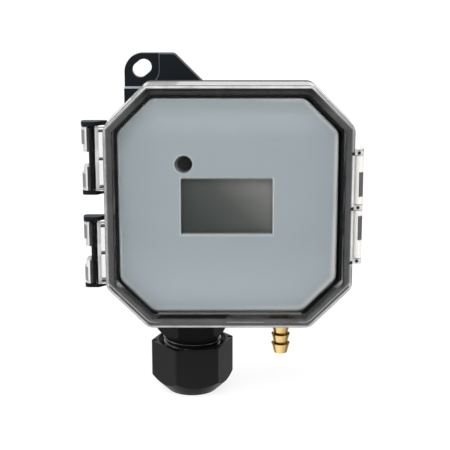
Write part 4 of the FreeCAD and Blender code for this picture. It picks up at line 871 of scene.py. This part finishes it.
class DressGland(bpy.types.Operator):
    """Cable gland with its screw thread, nut and seals"""

    bl_idname = "transmitter.dress_gland"
    bl_label = "Dress the gland"

    def execute(self, context):
        colours = context.scene.transmitter_colours
        nylon = moulded("gland_nylon", colours.gland, roughness=0.36,
                        grain_per_metre=1800.0, grain_depth=0.00003, gloss=0.09)
        dull = moulded("gland_body_nylon", colours.gland_body, roughness=0.5,
                       grain_per_metre=1800.0, grain_depth=0.00003, gloss=0.06)
        bright = moulded("gland_thread_nylon", colours.gland_body, roughness=0.2,
                         grain_per_metre=1800.0, grain_depth=0.00001, gloss=0.6)
        paint(nylon, "gland_nut")
        paint(dull, "gland_body", "gland_locknut")
        paint(rubber("gland_rubber", colours.seal), "gland_seal", "gland_washer")
        low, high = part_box("gland_seal")
        centre = [(start + end) / 2 for start, end in zip(low, high)]
        points = thread_points(context.scene.transmitter_thread, centre[0], centre[1])
        new_piece("gland_thread", points, "base", bright)
        return {"FINISHED"}


def area_lamp(name, place, size, power):
    """A large soft lamp that looks at the middle of the part."""
    lamp = bpy.data.lights.new(name, "AREA")
    lamp.shape = "RECTANGLE"
    lamp.size, lamp.size_y = size
    lamp.energy = power
    holder = bpy.data.objects.new(name, lamp)
    holder.location = place
    holder.rotation_euler = (-Vector(place)).to_track_quat("-Z", "Y").to_euler()
    bpy.context.scene.collection.objects.link(holder)


class SetStage(bpy.types.Operator):
    """Pale floor, room light, lamps and the camera"""

    bl_idname = "transmitter.set_stage"
    bl_label = "Set the stage"

    def execute(self, context):
        studio = context.scene.transmitter_studio
        self.add_floor()
        self.light_room(studio.room)
        area_lamp("key_lamp", place=(-0.15, -0.75, 0.85), size=(0.9, 0.6), power=studio.key_power)
        area_lamp("left_lamp", place=(-0.9, -0.25, 0.25), size=(0.5, 0.8), power=studio.side_power)
        area_lamp("right_lamp", place=(0.9, -0.25, 0.25), size=(0.5, 0.8), power=studio.side_power)
        self.add_camera(studio)
        context.scene.view_settings.view_transform = "Standard"
        return {"FINISHED"}

    def add_floor(self):
        """A wide sheet of pale paper under the part."""
        level = CAD_BOX[0][2]
        corners = [(x * FLOOR_REACH, y * FLOOR_REACH, level) for x, y in ((-1, -1), (1, -1), (1, 1), (-1, 1))]
        mesh = bpy.data.meshes.new("floor")
        mesh.from_pydata(corners, [], [(0, 1, 2, 3)])
        material, shade = new_finish("floor_paper")
        close_finish(shade, principled(
            shade,
            Base_Color=clouded(shade, FLOOR_GREY, 0.01, 2.0),
            Roughness=0.9,
            Emission_Color=WHITE,
            Emission_Strength=0.8,
        ))
        mesh.materials.append(material)
        floor = bpy.data.objects.new("floor", mesh)
        floor.visible_glossy = False
        floor.visible_transmission = False
        bpy.context.scene.collection.objects.link(floor)

    def light_room(self, strength):
        """White room, dimmer on the right, and dark where the flat front mirrors it to the camera.

        It is dim below the part too, apart from a bright card in front.
        """
        world = bpy.data.worlds.new("studio_room")
        world.use_nodes = True
        world.node_tree.nodes.clear()
        shade = Shade(world.node_tree)
        direction = shade.node("ShaderNodeTexCoord", {}, {}, "Generated")
        across, back, up = (shade.node("ShaderNodeSeparateXYZ", {}, {"Vector": direction}, name)
                            for name in "XYZ")
        mirrored = slope(shade, MIRRORED_Y * back + MIRRORED_Z * up, *MIRRORED_SPOT)
        below = slope(shade, up, *BELOW_Z) * slope(shade, back, *BELOW_Y)
        card = slope(shade, back, *CARD_Y) * slope(shade, up, *CARD_Z)
        level = (1.0 - 0.95 * mirrored) * (1.0 - 0.9 * below * (1.0 - card))
        level = level * (1.0 - 0.65 * held(shade, across))
        light = shade.node("ShaderNodeBackground", {}, {"Color": WHITE, "Strength": strength * level})
        shade.node("ShaderNodeOutputWorld", {}, {"Surface": light})
        bpy.context.scene.world = world

    def add_camera(self, studio):
        """A camera in front of the face plate, with the plate where the photograph has it."""
        low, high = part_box("lid")
        plate_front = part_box("face_plate")[0][1]
        aim = Vector((0.0, plate_front, (low[2] + high[2]) / 2))
        away = Vector((0.0, -math.cos(studio.elevation), math.sin(studio.elevation)))
        camera = bpy.data.cameras.new("camera")
        camera.sensor_fit = "HORIZONTAL"
        camera.lens = camera.sensor_width * studio.focal_pixels / IMAGE_PIXELS
        camera.shift_x = -studio.offset_x / IMAGE_PIXELS
        camera.shift_y = -studio.offset_y / IMAGE_PIXELS
        camera.clip_start = CLIP_START
        holder = bpy.data.objects.new("camera", camera)
        holder.location = aim + away * studio.distance
        holder.rotation_euler = (-away).to_track_quat("-Z", "Y").to_euler()
        bpy.context.scene.collection.objects.link(holder)
        bpy.context.scene.camera = holder


class TransmitterPanel(bpy.types.Panel):
    """Lists the settings and the steps"""

    bl_idname = "VIEW3D_PT_transmitter"
    bl_label = "Transmitter"
    bl_space_type = "VIEW_3D"
    bl_region_type = "UI"
    bl_category = "Transmitter"

    def draw(self, context):
        for group_name in GROUPS:
            group = getattr(context.scene, group_name)
            for name in group.__annotations__:
                self.layout.prop(group, name)
        for step in STEPS:
            self.layout.operator(step.bl_idname)


STEPS = (DressHousing, DressLid, DressFace, DressBoards, DressPorts, DressGland, SetStage)
GROUPS = {
    "transmitter_colours": TransmitterColours,
    "transmitter_thread": TransmitterThread,
    "transmitter_studio": TransmitterStudio,
}
CLASSES = (*GROUPS.values(), *STEPS, TransmitterPanel)


def register():
    for each in CLASSES:
        bpy.utils.register_class(each)
    for name, group in GROUPS.items():
        setattr(bpy.types.Scene, name, PointerProperty(type=group))


def unregister():
    for name in GROUPS:
        delattr(bpy.types.Scene, name)
    for each in reversed(CLASSES):
        bpy.utils.unregister_class(each)


def main():
    register()
    for step in STEPS:
        group, name = step.bl_idname.split(".")
        getattr(getattr(bpy.ops, group), name)()


if __name__ == "__main__":
    main()
